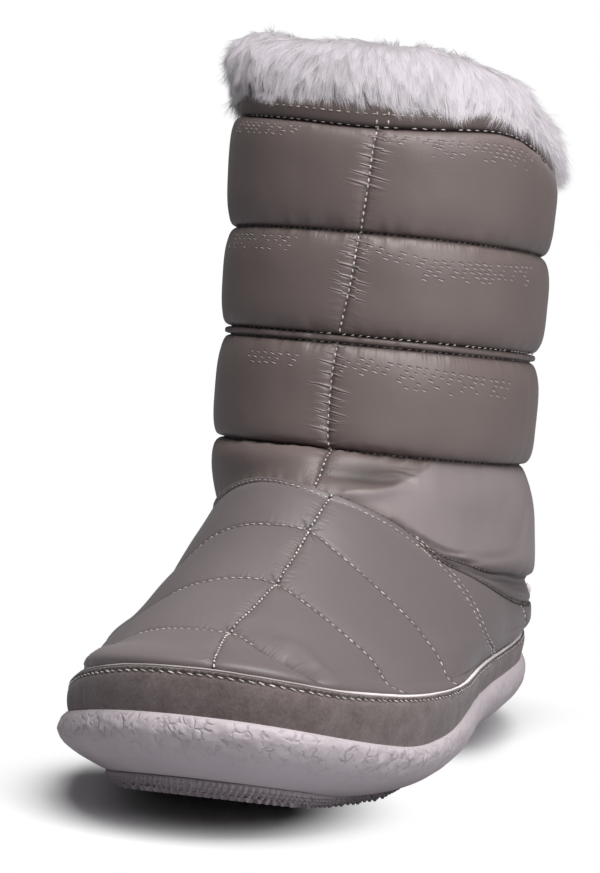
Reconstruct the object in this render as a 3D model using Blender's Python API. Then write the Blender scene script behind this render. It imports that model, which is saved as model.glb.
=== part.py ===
"""Quilted slipper boot for the right foot, standing empty on its sole.

Frame: metres, +Z up, toe towards -Y, big-toe side towards +X, floor at Z = 0.
Every curved piece is lofted from one boot form: closed sections, each tilted from its front
point to its back point, from the featherline (where the upper meets the sole) to the collar.
Sizes below are in millimetres and are turned into metres as the meshes are made.
"""
from collections import namedtuple
from functools import partial

import bmesh
import bpy
import numpy as np

MM = 0.001
GAP = 0.3                  # air left between pieces that touch
COLUMNS = 48               # points round each section

# Sole, from the floor up
TREAD_THICKNESS = 4.6
SOLE_THICKNESS = 19.5
ARCH_LIFT = 2.8            # how far the tread rises off the floor under the arch
ARCH_Y = 25.0
ARCH_HALF = 29.0           # the tread lies flat on the floor beyond this each way
INNER_UNDERCUT = 5.0       # extra slope of the sole's side under the big-toe side
UNDERCUT_FADE = 0.8        # share of that slope that is gone at the heel
HEEL_WEDGE = 6.0           # how much thicker the sole is at the heel than at the forefoot
WEDGE_START_Y = -85.0      # the wedge and the fade grow from here
WEDGE_END_Y = -20.0        # to here
SPRING_START_Y = -25.0     # the forefoot curls up from here to the toe
SPRING_END_Y = -123.0
TOE_SPRING = 14.2
TOE_FULLNESS = 0.12        # share of the toe spring that the underside gives back
INFLARE_START_Y = 29.0     # the plan curves to the big-toe side from here to the toe
INFLARE_LENGTH = 146.0
INFLARE = 8.0

# Waist of the plan, as pinches at a share of the length from toe to heel
Waist = namedtuple("Waist", "side depth centre width")
WAISTS = (
    Waist(side=+1.0, depth=5.0, centre=0.55, width=0.20),
    Waist(side=-1.0, depth=4.5, centre=0.62, width=0.15),
)
BALL_END = 0.28            # share of the length where the forefoot width starts to fade
HEEL_START = 0.77          # and where the heel width is reached

# Walls
FOXING_THICKNESS = 1.8
UPPER_WALL = 6.0           # quilted nylon, wadding and plush lining
SHAFT_WALL = 8.0
COLLAR_BAND_WALL = 5.0
INSOLE_THICKNESS = 5.0

# Plush collar, measured from the top edge of the collar band
FUR_OUT = 3.5              # stands out beyond the collar band
FUR_IN = 15.5              # reaches into the opening
FUR_HEIGHT = 19.0
FUR_SIDES = 12             # points round its cross-section
FUR_BOXINESS = 0.75        # 1 is an ellipse, less is fuller at the corners

Section = namedtuple(
    "Section", "name front_y front_z back_y back_z half_front half_back square_front square_back"
               " waist sag slant drift")
# front_*, back_*: end points of the section, with z measured up from the top of the sole.
# half_*: half widths near the toe and near the heel.
# square_*: 2 is an ellipse, more is squarer.  waist: share of the waist pinch.
# sag: drop of the sides below the line from front to back.  slant: drop of the big-toe side.
# drift: the whole section's offset to the big-toe side.
SECTIONS = (
    Section("featherline", -131.0, 0.0, 131.0, 0.0, 59.0, 50.0, 2.45, 2.40, 1.0, 0.0, 0.0, -0.8),
    Section("foxing_top", -130.5, 14.0, 132.5, 14.0, 59.0, 50.5, 2.45, 2.40, 0.9, 0.0, 0.0, -0.8),
    Section("toe_box", -121.0, 18.5, 133.0, 17.0, 56.0, 51.5, 2.35, 2.35, 0.8, 1.5, 0.0, -0.8),
    Section("toe_top", -96.0, 30.0, 133.0, 19.5, 53.5, 51.5, 2.25, 2.30, 0.6, 4.5, 0.0, -0.8),
    Section("mid_vamp", -68.0, 43.5, 132.5, 22.5, 52.0, 51.0, 2.10, 2.25, 0.5, 9.0, 1.5, -1.3),
    Section("high_vamp", -42.0, 57.0, 131.5, 25.5, 50.0, 50.0, 2.05, 2.20, 0.3, 12.5, 2.5, -1.8),
    Section("vamp_seam", -21.0, 69.5, 129.0, 30.0, 47.5, 48.5, 2.00, 2.20, 0.1, 14.0, 3.5, -2.3),
    Section("ankle", -10.0, 75.5, 119.0, 51.0, 47.5, 47.0, 2.00, 2.20, 0.0, 5.0, 2.0, -3.1),
    Section("ring_three", -2.0, 80.5, 108.0, 71.0, 48.0, 47.5, 2.10, 2.20, 0.0, 0.0, 1.5, -2.6),
    Section("ring_two", 3.0, 113.5, 106.5, 105.5, 48.6, 48.3, 2.20, 2.20, 0.0, 0.0, 1.5, -1.8),
    Section("ring_one", 5.5, 148.5, 109.0, 140.0, 49.4, 49.2, 2.20, 2.20, 0.0, 0.0, 1.5, -1.3),
    Section("collar_seam", 8.0, 183.0, 111.5, 163.0, 50.0, 50.0, 2.20, 2.20, 0.0, 0.0, 2.0, -1.1),
    Section("collar_top", 9.5, 192.0, 111.0, 172.0, 49.0, 49.0, 2.20, 2.20, 0.0, 0.0, 2.0, -1.1),
)
LEVEL = {section.name: float(row) for row, section in enumerate(SECTIONS)}
LEVEL_OUT_BELOW = 1.5      # rows above the featherline where walls stop being set off sideways
LEVEL_OUT_ABOVE = 0.6      # rows below the collar seam where they start being set off sideways

# Quilted panels: each swells between two seams
Quilt = namedtuple("Quilt", "low high swell")
SHAFT_QUILTS = (
    Quilt("vamp_seam", "ring_three", 3.6),
    Quilt("ring_three", "ring_two", 3.8),
    Quilt("ring_two", "ring_one", 3.6),
    Quilt("ring_one", "collar_seam", 3.4),
)

QUILT_FLATNESS = 3.0       # 2 is a round swell, more is flatter on top
QUILT_RINGS = (0.0, 0.12, 0.35, 0.65, 0.88)   # where a panel's rings lie between its seams

# Edge of the footbed: how far inside the upper's lining at each share of its thickness
INSOLE_STEPS = ((1.0, 0.0), (0.4, 0.4), (2.0, 1.0))

# Side of the sole: how far it stands out from the featherline at each height
SoleStep = namedtuple("SoleStep", "out height")
TREAD_STEPS = (
    SoleStep(-10.0, 0.0),
    SoleStep(-8.5, 1.2),
    SoleStep(-8.5, TREAD_THICKNESS),
)
FOAM_STEPS = (
    SoleStep(-7.0, TREAD_THICKNESS + GAP),
    SoleStep(-2.2, 7.8),
    SoleStep(2.0, 11.2),
    SoleStep(4.0, 14.8),
    SoleStep(3.8, 18.2),
    SoleStep(2.4, SOLE_THICKNESS),
)

Finish = namedtuple("Finish", "colour roughness")
FINISHES = {
    "outsole": Finish((0.30, 0.26, 0.28), 0.75),
    "midsole": Finish((0.38, 0.33, 0.35), 0.60),
    "insole": Finish((0.72, 0.68, 0.70), 0.95),
    "foxing_band": Finish((0.13, 0.11, 0.10), 0.90),
    "upper": Finish((0.20, 0.18, 0.17), 0.45),
    "shaft": Finish((0.17, 0.15, 0.14), 0.45),
    "collar_band": Finish((0.14, 0.12, 0.11), 0.50),
    "fur_collar": Finish((0.75, 0.71, 0.73), 0.95),
}


def ease(share):
    """Smooth ramp from 0 to 1."""
    share = np.clip(share, 0.0, 1.0)
    return share * share * (3.0 - 2.0 * share)


def blend_rows(values, level):
    """Read a column of the section table at any level, along a smooth curve that never overshoots."""
    last = len(values) - 1
    values = np.asarray(values, float)
    level = np.clip(np.asarray(level, float), 0.0, last)
    rises = np.diff(values)
    before, after = rises[:-1], rises[1:]
    same_way = before * after > 0.0
    total = np.where(same_way, before + after, 1.0)
    inner = np.where(same_way, 2.0 * before * after / total, 0.0)
    slopes = np.concatenate([rises[:1], inner, rises[-1:]])
    row = np.minimum(level.astype(int), last - 1)
    part = level - row
    return (values[row] * (1.0 + 2.0 * part) * (1.0 - part) ** 2 + slopes[row] * part * (1.0 - part) ** 2
            + values[row + 1] * part**2 * (3.0 - 2.0 * part) + slopes[row + 1] * part**2 * (part - 1.0))


def toe_spring(y):
    """Height by which the toe end of the boot curls up."""
    share = (SPRING_START_Y - y) / (SPRING_START_Y - SPRING_END_Y)
    return TOE_SPRING * np.clip(share, 0.0, None) ** 2


def arch(y):
    """Height of the tread off the floor under the arch."""
    share = np.clip((y - ARCH_Y) / ARCH_HALF, -1.0, 1.0)
    return ARCH_LIFT * (1.0 - share**2) ** 2


def to_back(y):
    """Share of the change from the forefoot's sole to the heel's."""
    return ease((y - WEDGE_START_Y) / (WEDGE_END_Y - WEDGE_START_Y))


def seat_lift(y):
    """Height of the sole's top over its thinnest part: toe spring and heel wedge."""
    return toe_spring(y) + HEEL_WEDGE * to_back(y)


def inflare(y):
    """Sideways curve of the plan towards the big-toe side."""
    return INFLARE * np.clip((INFLARE_START_Y - y) / INFLARE_LENGTH, 0.0, None) ** 2


def form(level, angle):
    """Points of the boot form. Angle 0 is the front, a quarter turn is the big-toe side."""
    level, angle = np.broadcast_arrays(np.asarray(level, float), np.asarray(angle, float))
    at = Section(None, *(blend_rows([row[column] for row in SECTIONS], level)
                         for column in range(1, len(Section._fields))))
    cosine, sine = np.cos(angle), np.sin(angle)
    power = 2.0 / np.where(cosine > 0.0, at.square_front, at.square_back)
    along = (1.0 - np.sign(cosine) * np.abs(cosine) ** power) / 2.0
    across = np.sign(sine) * np.abs(sine) ** power
    to_heel = ease((along - BALL_END) / (HEEL_START - BALL_END))
    half = at.half_front + (at.half_back - at.half_front) * to_heel
    for waist in WAISTS:
        pinch = np.exp(-((along - waist.centre) / waist.width) ** 2) * ease(1.5 * waist.side * sine)
        half = half - at.waist * waist.depth * pinch
    y = at.front_y + (at.back_y - at.front_y) * along
    x = across * half + at.drift + inflare(y)
    z = at.front_z + (at.back_z - at.front_z) * along - at.sag * sine**2 - at.slant * across
    wedge = HEEL_WEDGE * to_back(y) * (1.0 - ease(level))
    return np.stack([x, y, SOLE_THICKNESS + z + toe_spring(y) + wedge], axis=-1)


def unit(vectors):
    """Vectors scaled to length one."""
    return vectors / np.linalg.norm(vectors, axis=-1, keepdims=True)


def climb(level, angle):
    """Unit vectors up the form, from section to section."""
    step = 0.02
    top = len(SECTIONS) - 1.0
    return unit(form(np.minimum(level + step, top), angle) - form(np.maximum(level - step, 0.0), angle))


def outward(level, angle):
    """Unit vectors out of the form. They turn level at the sole and at the collar seam."""
    step = 0.01
    around = form(level, angle + step) - form(level, angle - step)
    normal = np.cross(around, climb(level, angle))
    top = LEVEL["collar_seam"]
    normal[..., 2] *= ease(level / LEVEL_OUT_BELOW) * ease((top - level) / LEVEL_OUT_ABOVE)
    return unit(normal)


def swell(level):
    """Fullness of the quilted shaft: flat-topped between its seams, nothing on them."""
    full = np.zeros_like(np.asarray(level, float))
    for quilt in SHAFT_QUILTS:
        low, high = LEVEL[quilt.low], LEVEL[quilt.high]
        share = np.clip((level - low) / (high - low), 0.0, 1.0)
        full = full + quilt.swell * (1.0 - np.abs(2.0 * share - 1.0) ** QUILT_FLATNESS)
    return full


def angles():
    """Angles of the columns, front column first."""
    return np.arange(COLUMNS) * 2.0 * np.pi / COLUMNS


def ring(level, offset=0.0, shift=0.0):
    """One closed ring of points, moved out by offset and up the form by shift."""
    turn = angles()
    level = np.full(COLUMNS, float(level))
    return form(level, turn) + outward(level, turn) * offset + climb(level, turn) * shift


def plan_normal(outline):
    """Unit vectors out of a closed outline, seen from above."""
    along = np.roll(outline, -1, axis=0) - np.roll(outline, 1, axis=0)
    normal = np.stack([along[:, 1], -along[:, 0], np.zeros(len(outline))], axis=-1)
    return unit(normal)


def sole_rise(step, y):
    """Height of a step of the sole, with its toe spring and arch."""
    bottom_share = 1.0 - step.height / SOLE_THICKNESS
    spring = toe_spring(y) * (1.0 - TOE_FULLNESS * bottom_share)
    return step.height + spring + arch(y) * bottom_share + HEEL_WEDGE * to_back(y) * (1.0 - bottom_share)


def sole_ring(step):
    """One ring of the sole: the featherline moved out in plan, with toe spring and arch."""
    outline = ring(LEVEL["featherline"])
    bottom_share = 1.0 - step.height / SOLE_THICKNESS
    undercut = INNER_UNDERCUT * (1.0 - UNDERCUT_FADE * to_back(outline[:, 1]))
    out = step.out - undercut * bottom_share * ease(np.sin(angles()))
    points = outline + plan_normal(outline) * out[:, None]
    points[:, 2] = sole_rise(step, points[:, 1])
    return points


def seat_ring(out, height):
    """One ring that lies along the sole's top: the featherline moved out in plan."""
    outline = ring(LEVEL["featherline"])
    points = outline + plan_normal(outline) * out
    points[:, 2] = height + seat_lift(points[:, 1])
    return points


def skin(mesh, lower, upper, flip=False):
    """Faces between two rings of mesh vertices."""
    count = len(lower)
    for index in range(count):
        following = (index + 1) % count
        corners = [lower[index], lower[following], upper[following], upper[index]]
        mesh.faces.new(corners[::-1] if flip else corners)


def lid(mesh, rim, rise, flip=False):
    """Close a rim with strips from side to side, so that the lid follows the toe spring."""
    half = len(rim) // 2
    steps = 4
    rows = []
    for index in range(1, half):
        left, right = rim[index].co, rim[-index].co
        row = [rim[index]]
        for part in range(1, steps):
            point = left.lerp(right, part / steps)
            point.z = rise(point.y / MM) * MM
            row.append(mesh.verts.new(point))
        rows.append(row + [rim[-index]])
    for first, second in zip(rows, rows[1:]):
        for part in range(steps):
            corners = [first[part], first[part + 1], second[part + 1], second[part]]
            mesh.faces.new(corners[::-1] if flip else corners)
    for tip, row, turned in ((rim[0], rows[0], False), (rim[half], rows[-1], True)):
        for part in range(steps):
            corners = [tip, row[part + 1], row[part]]
            mesh.faces.new(corners[::-1] if turned != flip else corners)


def add_object(name, mesh):
    """Turn a bmesh into a smooth-shaded object with its own material."""
    bmesh.ops.recalc_face_normals(mesh, faces=mesh.faces)
    data = bpy.data.meshes.new(name)
    mesh.to_mesh(data)
    mesh.free()
    data.shade_smooth()
    data.set_sharp_from_angle(angle=np.radians(50.0))
    finish = FINISHES[name]
    material = bpy.data.materials.new(name)
    material.use_nodes = True
    shader = material.node_tree.nodes["Principled BSDF"]
    shader.inputs["Base Color"].default_value = (*finish.colour, 1.0)
    shader.inputs["Roughness"].default_value = finish.roughness
    data.materials.append(material)
    piece = bpy.data.objects.new(name, data)
    bpy.data.collections["slipper_boot"].objects.link(piece)
    return piece


def add_rings(mesh, rings):
    """Add rings of points to a bmesh, in metres."""
    return [[mesh.verts.new(point * MM) for point in points] for points in rings]


def build_tube(name, rings):
    """A hollow piece: rings up the outside and down the inside, closed on themselves."""
    mesh = bmesh.new()
    rows = add_rings(mesh, rings)
    for lower, upper in zip(rows, rows[1:] + rows[:1]):
        skin(mesh, lower, upper)
    return add_object(name, mesh)


def build_block(name, rings, rise_bottom, rise_top):
    """A solid piece: rings from its bottom rim to its top rim, with a lid on each."""
    mesh = bmesh.new()
    rows = add_rings(mesh, rings)
    for lower, upper in zip(rows, rows[1:]):
        skin(mesh, lower, upper)
    lid(mesh, rows[0], rise_bottom, flip=True)
    lid(mesh, rows[-1], rise_top)
    return add_object(name, mesh)


def build_sole():
    """Tread and foam sole, one on the other."""
    for name, steps in (("outsole", TREAD_STEPS), ("midsole", FOAM_STEPS)):
        rings = [sole_ring(step) for step in steps]
        build_block(name, rings, partial(sole_rise, steps[0]), partial(sole_rise, steps[-1]))


def build_insole():
    """Footbed, lying on the foam sole inside the upper."""
    clear = -(UPPER_WALL + 2.0 * GAP)
    bottom = SOLE_THICKNESS + GAP
    top = bottom + INSOLE_THICKNESS
    rings = [seat_ring(clear - inset, bottom + share * INSOLE_THICKNESS) for inset, share in INSOLE_STEPS]
    build_block("insole", rings, lambda y: bottom + seat_lift(y), lambda y: top + seat_lift(y))


def build_foxing_band():
    """Nubuck band round the foot, between two larger forms of the upper."""
    bottom = SOLE_THICKNESS + GAP
    outside = [seat_ring(GAP + FOXING_THICKNESS, bottom)]
    inside = [seat_ring(GAP, bottom)]
    for level in np.linspace(LEVEL["featherline"], LEVEL["foxing_top"], 3)[1:]:
        outside.append(ring(level, GAP + FOXING_THICKNESS))
        inside.append(ring(level, GAP))
    build_tube("foxing_band", outside + inside[::-1])


def build_upper():
    """Vamp and quarters: one hollow shell, open below and at the ankle."""
    bottom, top = SOLE_THICKNESS + GAP, LEVEL["vamp_seam"]
    outside = [seat_ring(0.0, bottom)]
    outside += [ring(level) for level in np.linspace(0.0, top, 13)[1:-1]]
    outside.append(ring(top, 0.0, -GAP / 2.0))
    inside = [seat_ring(-UPPER_WALL, bottom)]
    inside += [ring(level, -UPPER_WALL) for level in np.linspace(0.0, top, 9)[1:-1]]
    inside.append(ring(top, -UPPER_WALL, -GAP / 2.0))
    build_tube("upper", outside + inside[::-1])


def build_shaft():
    """Quilted tube above the vamp seam: four swelling bands outside, smooth lining inside."""
    outside, inside = [], []
    for quilt in SHAFT_QUILTS:
        low, high = LEVEL[quilt.low], LEVEL[quilt.high]
        outside += [low + (high - low) * share for share in QUILT_RINGS]
        inside += [low, (low + high) / 2.0]
    top = LEVEL["collar_seam"]
    outside_rings = [ring(level, swell(level)) for level in outside[1:]]
    inside_rings = [ring(level, -SHAFT_WALL) for level in inside[1:]]
    start = LEVEL["vamp_seam"]
    rings = ([ring(start, 0.0, GAP / 2.0)] + outside_rings + [ring(top, 0.0, -GAP / 2.0)]
             + [ring(top, -SHAFT_WALL, -GAP / 2.0)] + inside_rings[::-1]
             + [ring(start, -UPPER_WALL, GAP / 2.0)])
    build_tube("shaft", rings)


def build_collar_band():
    """Narrow nylon strip between the top padded band and the plush collar."""
    low, high = LEVEL["collar_seam"], LEVEL["collar_top"]
    levels = (low, (low + high) / 2.0, high)
    shifts = (GAP / 2.0, 0.0, -GAP / 2.0)
    outside = [ring(level, 0.0, shift) for level, shift in zip(levels, shifts)]
    inside = [ring(level, -COLLAR_BAND_WALL, shift) for level, shift in zip(levels, shifts)]
    build_tube("collar_band", outside + inside[::-1])


def build_fur_collar():
    """Deep plush ring, rounded, standing on the collar band and open through."""
    base = ring(LEVEL["collar_top"], 0.0, GAP)
    out = plan_normal(base)
    middle = (FUR_OUT - FUR_IN) / 2.0
    half = (FUR_OUT + FUR_IN) / 2.0
    rings = []
    for around in (np.arange(FUR_SIDES) + 0.5) * 2.0 * np.pi / FUR_SIDES:
        reach = np.sign(np.cos(around)) * abs(np.cos(around)) ** FUR_BOXINESS
        height = (1.0 + np.sign(np.sin(around)) * abs(np.sin(around)) ** FUR_BOXINESS) / 2.0
        points = base + out * (middle + half * reach)
        points[:, 2] += FUR_HEIGHT * height
        rings.append(points)
    build_tube("fur_collar", rings)


def main():
    """Clear the scene and build the boot."""
    for item in list(bpy.data.objects):
        bpy.data.objects.remove(item, do_unlink=True)
    collection = bpy.data.collections.new("slipper_boot")
    bpy.context.scene.collection.children.link(collection)
    build_sole()
    build_insole()
    build_foxing_band()
    build_upper()
    build_shaft()
    build_collar_band()
    build_fur_collar()


main()
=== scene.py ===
"""Quilted slipper boot for the right foot: its visible pieces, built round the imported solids.

Frame: +Z up, toe towards -Y, big-toe side towards +X, floor at Z = 0. Sizes are in millimetres and are
turned into metres as each mesh is made. Every fabric piece is laid over one boot form, read at a
level (which section, counted from the featherline) and an angle (0 at the front, 90 at the big-toe side).
"""
import logging
import math
from dataclasses import dataclass
from enum import Enum
from typing import Any, Callable, NamedTuple, Sequence

import bpy
import numpy as np
from mathutils import Matrix


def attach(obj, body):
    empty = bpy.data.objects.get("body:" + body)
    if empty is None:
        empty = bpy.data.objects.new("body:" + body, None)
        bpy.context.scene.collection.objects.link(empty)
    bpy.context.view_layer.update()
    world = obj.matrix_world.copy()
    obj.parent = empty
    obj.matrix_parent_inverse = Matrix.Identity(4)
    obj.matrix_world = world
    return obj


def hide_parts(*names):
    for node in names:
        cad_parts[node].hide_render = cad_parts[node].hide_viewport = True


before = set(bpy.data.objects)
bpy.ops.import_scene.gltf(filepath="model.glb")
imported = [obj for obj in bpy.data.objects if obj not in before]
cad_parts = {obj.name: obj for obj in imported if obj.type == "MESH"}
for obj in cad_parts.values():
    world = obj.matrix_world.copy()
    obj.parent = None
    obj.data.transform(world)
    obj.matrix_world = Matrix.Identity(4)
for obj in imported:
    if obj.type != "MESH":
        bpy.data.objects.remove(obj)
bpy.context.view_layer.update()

MM = 0.001
GAP = 0.3              # between pieces that would touch, in mm
SEAM_SHIFT = 57.0      # keeps the folds of one seam from repeating on the next, in mm
SIDE_SHIFT = 23.0      # and those of one side of a seam on the other
ROOT = "root"
log = logging.getLogger("slipper_boot")


# ---------------------------------------------------------------- small tools


def ease(share: Any) -> Any:
    """Smooth ramp from 0 to 1."""
    share = np.clip(share, 0.0, 1.0)
    return share * share * (3.0 - 2.0 * share)


def unit(vectors: np.ndarray) -> np.ndarray:
    """Vectors scaled to length one."""
    return vectors / np.maximum(np.linalg.norm(vectors, axis=-1, keepdims=True), 1e-9)


def linear(colour: str) -> tuple[float, float, float, float]:
    """Turn an sRGB hex colour into the linear colour that a shader reads.

    Args:
        colour: six hex digits after a hash sign.

    Returns:
        Red, green, blue and an alpha of one.
    """
    shares = [int(colour[place:place + 2], 16) / 255.0 for place in (1, 3, 5)]
    red, green, blue = (s / 12.92 if s <= 0.04045 else ((s + 0.055) / 1.055) ** 2.4 for s in shares)
    return (red, green, blue, 1.0)


class Nodes:
    """A node tree being written: each method adds one node and hands it, or what it gives out, back."""

    def __init__(self, tree: bpy.types.NodeTree) -> None:
        """Write into this tree."""
        self.tree = tree

    def feed(self, node: bpy.types.Node, inputs: dict[Any, Any]) -> bpy.types.Node:
        """Feed a node's sockets.

        Args:
            node: the node.
            inputs: by socket name or place, a value, a socket or a node whose first output is meant.

        Returns:
            The same node.
        """
        for key, value in inputs.items():
            if isinstance(value, bpy.types.Node):
                value = value.outputs[0]
            if isinstance(value, bpy.types.NodeSocket):
                self.tree.links.new(value, node.inputs[key])
            else:
                node.inputs[key].default_value = value
        return node

    def add(self, kind: str, settings: dict[str, Any] | None = None,
            inputs: dict[Any, Any] | None = None) -> bpy.types.Node:
        """Add one node, by Blender's name for its type, with its own properties and its inputs."""
        node = self.tree.nodes.new(kind)
        for key, value in (settings or {}).items():
            setattr(node, key, value)
        return self.feed(node, inputs or {})

    def math(self, operation: str, *values: Any, clamp: bool = False) -> bpy.types.NodeSocket:
        """Work on numbers."""
        settings = {"operation": operation, "use_clamp": clamp}
        return self.add("ShaderNodeMath", settings, dict(enumerate(values))).outputs[0]

    def vector(self, operation: str, *values: Any) -> bpy.types.NodeSocket:
        """Work on vectors."""
        return self.add("ShaderNodeVectorMath", {"operation": operation}, dict(enumerate(values))).outputs[0]

    def scaled(self, vector: Any, share: Any) -> bpy.types.NodeSocket:
        """Lengthen or shorten a vector."""
        inputs = {0: vector, "Scale": share}
        return self.add("ShaderNodeVectorMath", {"operation": "SCALE"}, inputs).outputs[0]

    def join(self, x: Any, y: Any, z: Any = 0.0) -> bpy.types.NodeSocket:
        """Make a vector of three numbers."""
        return self.add("ShaderNodeCombineXYZ", inputs={0: x, 1: y, 2: z}).outputs[0]

    def split(self, vector: Any) -> Sequence[bpy.types.NodeSocket]:
        """Take a vector apart."""
        return self.add("ShaderNodeSeparateXYZ", inputs={0: vector}).outputs

    def ramp(self, value: Any, start: Any = 0.0, end: Any = 1.0, low: float = 0.0, high: float = 1.0,
             soft: bool = False) -> bpy.types.NodeSocket:
        """Run from low to high while the value goes from start to end."""
        return self.add("ShaderNodeMapRange", {"interpolation_type": "SMOOTHSTEP" if soft else "LINEAR"}, {
            "Value": value, "From Min": start, "From Max": end, "To Min": low, "To Max": high}).outputs[0]

    def blend(self, share: Any, low: Any, high: Any) -> bpy.types.NodeSocket:
        """Mix two colours, each a hex colour or a socket."""
        low, high = (linear(colour) if isinstance(colour, str) else colour for colour in (low, high))
        return self.add("ShaderNodeMix", {"data_type": "RGBA"}, {0: share, 6: low, 7: high}).outputs[2]

    def place(self, kind: str = "Object") -> bpy.types.NodeSocket:
        """Read where a point lies on its piece."""
        return self.add("ShaderNodeTexCoord").outputs[kind]

    def painted(self, name: str, kind: str = "Fac") -> bpy.types.NodeSocket:
        """Read, in a material, what is painted on the mesh."""
        return self.add("ShaderNodeAttribute", {"attribute_name": name}).outputs[kind]

    def stored(self, name: str, kind: str = "FLOAT_VECTOR") -> bpy.types.NodeSocket:
        """Read, in a geometry tree, what is stored on the mesh."""
        return self.add("GeometryNodeInputNamedAttribute", {"data_type": kind}, {"Name": name}).outputs[0]

    def noise(self, place: Any, lump_mm: float, detail: float, **more: float) -> bpy.types.Node:
        """Cloudy noise with lumps of a size in mm."""
        return self.add("ShaderNodeTexNoise", inputs={
            "Vector": place, "Scale": 1.0 / (lump_mm * MM), "Detail": detail, **more})

    def bump(self, strength: Any, depth_mm: float, height: Any,
             under: bpy.types.NodeSocket | None = None) -> bpy.types.NodeSocket:
        """Relief of a depth in mm, over another relief if there is one."""
        inputs = {"Strength": strength, "Distance": depth_mm * MM, "Height": height}
        if under is not None:
            inputs["Normal"] = under
        return self.add("ShaderNodeBump", inputs=inputs).outputs[0]

    def keep(self, geometry: Any, name: str, value: Any, kind: str = "FLOAT") -> bpy.types.Node:
        """Store a value on each point of a geometry."""
        return self.add("GeometryNodeStoreNamedAttribute", {"data_type": kind, "domain": "POINT"}, {
            "Geometry": geometry, "Name": name, "Value": value})

    def finish(self, copies: Any, material: bpy.types.Material, smooth: bool, offset: Any = None) -> None:
        """Make copies real, move them if an offset is given, and hand them out with a material."""
        real = self.add("GeometryNodeRealizeInstances", inputs={"Geometry": copies})
        if offset is not None:
            real = self.add("GeometryNodeSetPosition", inputs={"Geometry": real, "Offset": offset})
        shaded = self.add("GeometryNodeSetShadeSmooth", inputs={0: real, "Shade Smooth": smooth})
        done = self.add("GeometryNodeSetMaterial", inputs={"Geometry": shaded, "Material": material})
        self.add("NodeGroupOutput", inputs={0: done})

    def luck(self, kind: str, low: Any, high: Any, seed: int) -> bpy.types.NodeSocket:
        """Draw a value for each point, a number or a vector, between two limits and from a fixed seed."""
        first = 0 if kind == "FLOAT_VECTOR" else 2
        inputs = {first: low, first + 1: high, "Seed": seed}
        return self.add("FunctionNodeRandomValue", {"data_type": kind}, inputs).outputs[first // 2]


class Unevenness:
    """Smooth seeded noise, for what hands and wadding leave uneven."""

    def __init__(self, seed: int) -> None:
        """Fill the lattice's table from one fixed seed."""
        self.table = np.random.default_rng(seed).uniform(-1.0, 1.0, 4096)

    def at(self, places: np.ndarray, size: float) -> np.ndarray:
        """Read the noise.

        Args:
            places: points in mm, last axis of two or three.
            size: size of one lump in mm.

        Returns:
            Values from -1 to 1.
        """
        scaled = np.asarray(places, float) / size
        whole = np.floor(scaled).astype(np.int64)
        part = scaled - whole
        part = part * part * (3.0 - 2.0 * part)
        axes = scaled.shape[-1]
        total = np.zeros(scaled.shape[:-1])
        for corner in range(2**axes):
            code = np.zeros(scaled.shape[:-1], np.int64)
            weight = np.ones(scaled.shape[:-1])
            for axis, prime in zip(range(axes), (73856093, 19349663, 83492791)):
                side = (corner >> axis) & 1
                code ^= (whole[..., axis] + side) * prime
                weight *= part[..., axis] if side else 1.0 - part[..., axis]
            total += weight * self.table[code & 4095]
        return total

    def lumps(self, places: np.ndarray, *kinds: tuple[float, float]) -> np.ndarray:
        """Add up lumps of several kinds, each with its height and its size in mm."""
        return sum(height * self.at(places, size) for height, size in kinds)


def lay_mesh(name: str, points: np.ndarray, faces: np.ndarray) -> bpy.types.Object:
    """Make an object from points in mm and an array of quads.

    Args:
        name: the piece's name.
        points: n by 3, in mm.
        faces: m by 4 vertex numbers, anticlockwise seen from outside.

    Returns:
        The new object, at the origin.
    """
    data = bpy.data.meshes.new(name)
    count = len(faces)
    data.vertices.add(len(points))
    data.vertices.foreach_set("co", (points * MM).astype(np.float32).ravel())
    data.loops.add(count * 4)
    data.loops.foreach_set("vertex_index", faces.astype(np.int32).ravel())
    data.polygons.add(count)
    data.polygons.foreach_set("loop_start", np.arange(count, dtype=np.int32) * 4)
    data.polygons.foreach_set("loop_total", np.full(count, 4, np.int32))
    data.update(calc_edges=True)
    data.shade_smooth()
    return link(bpy.data.objects.new(name, data))


def lay_grid(name: str, points: np.ndarray, around: np.ndarray | None = None,
             up: np.ndarray | None = None, closed: bool = True) -> bpy.types.Object:
    """Make a tube or sheet from rows of points, with a UV map in metres along the cloth.

    Args:
        name: the piece's name.
        points: rows by columns by 3, in mm. Columns run anticlockwise seen from above.
        around: distance of each column along the cloth in mm, with one more for a closed row.
        up: rows by columns, distance up the cloth in mm.
        closed: whether the last column joins the first.

    Returns:
        The new object.
    """
    rows, columns = points.shape[:2]
    across_count = columns if closed else columns - 1
    row, column = np.meshgrid(np.arange(rows - 1), np.arange(across_count), indexing="ij")
    following = (column + 1) % columns
    faces = np.stack([row * columns + column, row * columns + following,
                      (row + 1) * columns + following, (row + 1) * columns + column], -1).reshape(-1, 4)
    piece = lay_mesh(name, points.reshape(-1, 3), faces)
    if around is not None and up is not None:
        across = np.stack([column, column + 1, column + 1, column], -1).reshape(-1, 4)
        heights = up.reshape(-1)[faces]
        uv = np.stack([around[across] * MM, heights * MM], -1)
        layer = piece.data.uv_layers.new(name="cloth")
        layer.data.foreach_set("uv", uv.astype(np.float32).ravel())
    return piece


def run_along(points: np.ndarray) -> np.ndarray:
    """Distance of each point from the first of its row, rows running down the first axis."""
    steps = np.linalg.norm(np.diff(points, axis=0), axis=-1)
    return np.concatenate([np.zeros_like(steps[:1]), np.cumsum(steps, axis=0)])


def signed(angle: np.ndarray) -> np.ndarray:
    """Angles up to 360 degrees, with the outer side's turned into negative ones."""
    return np.where(angle > 180.0, angle - 360.0, angle)


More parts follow.
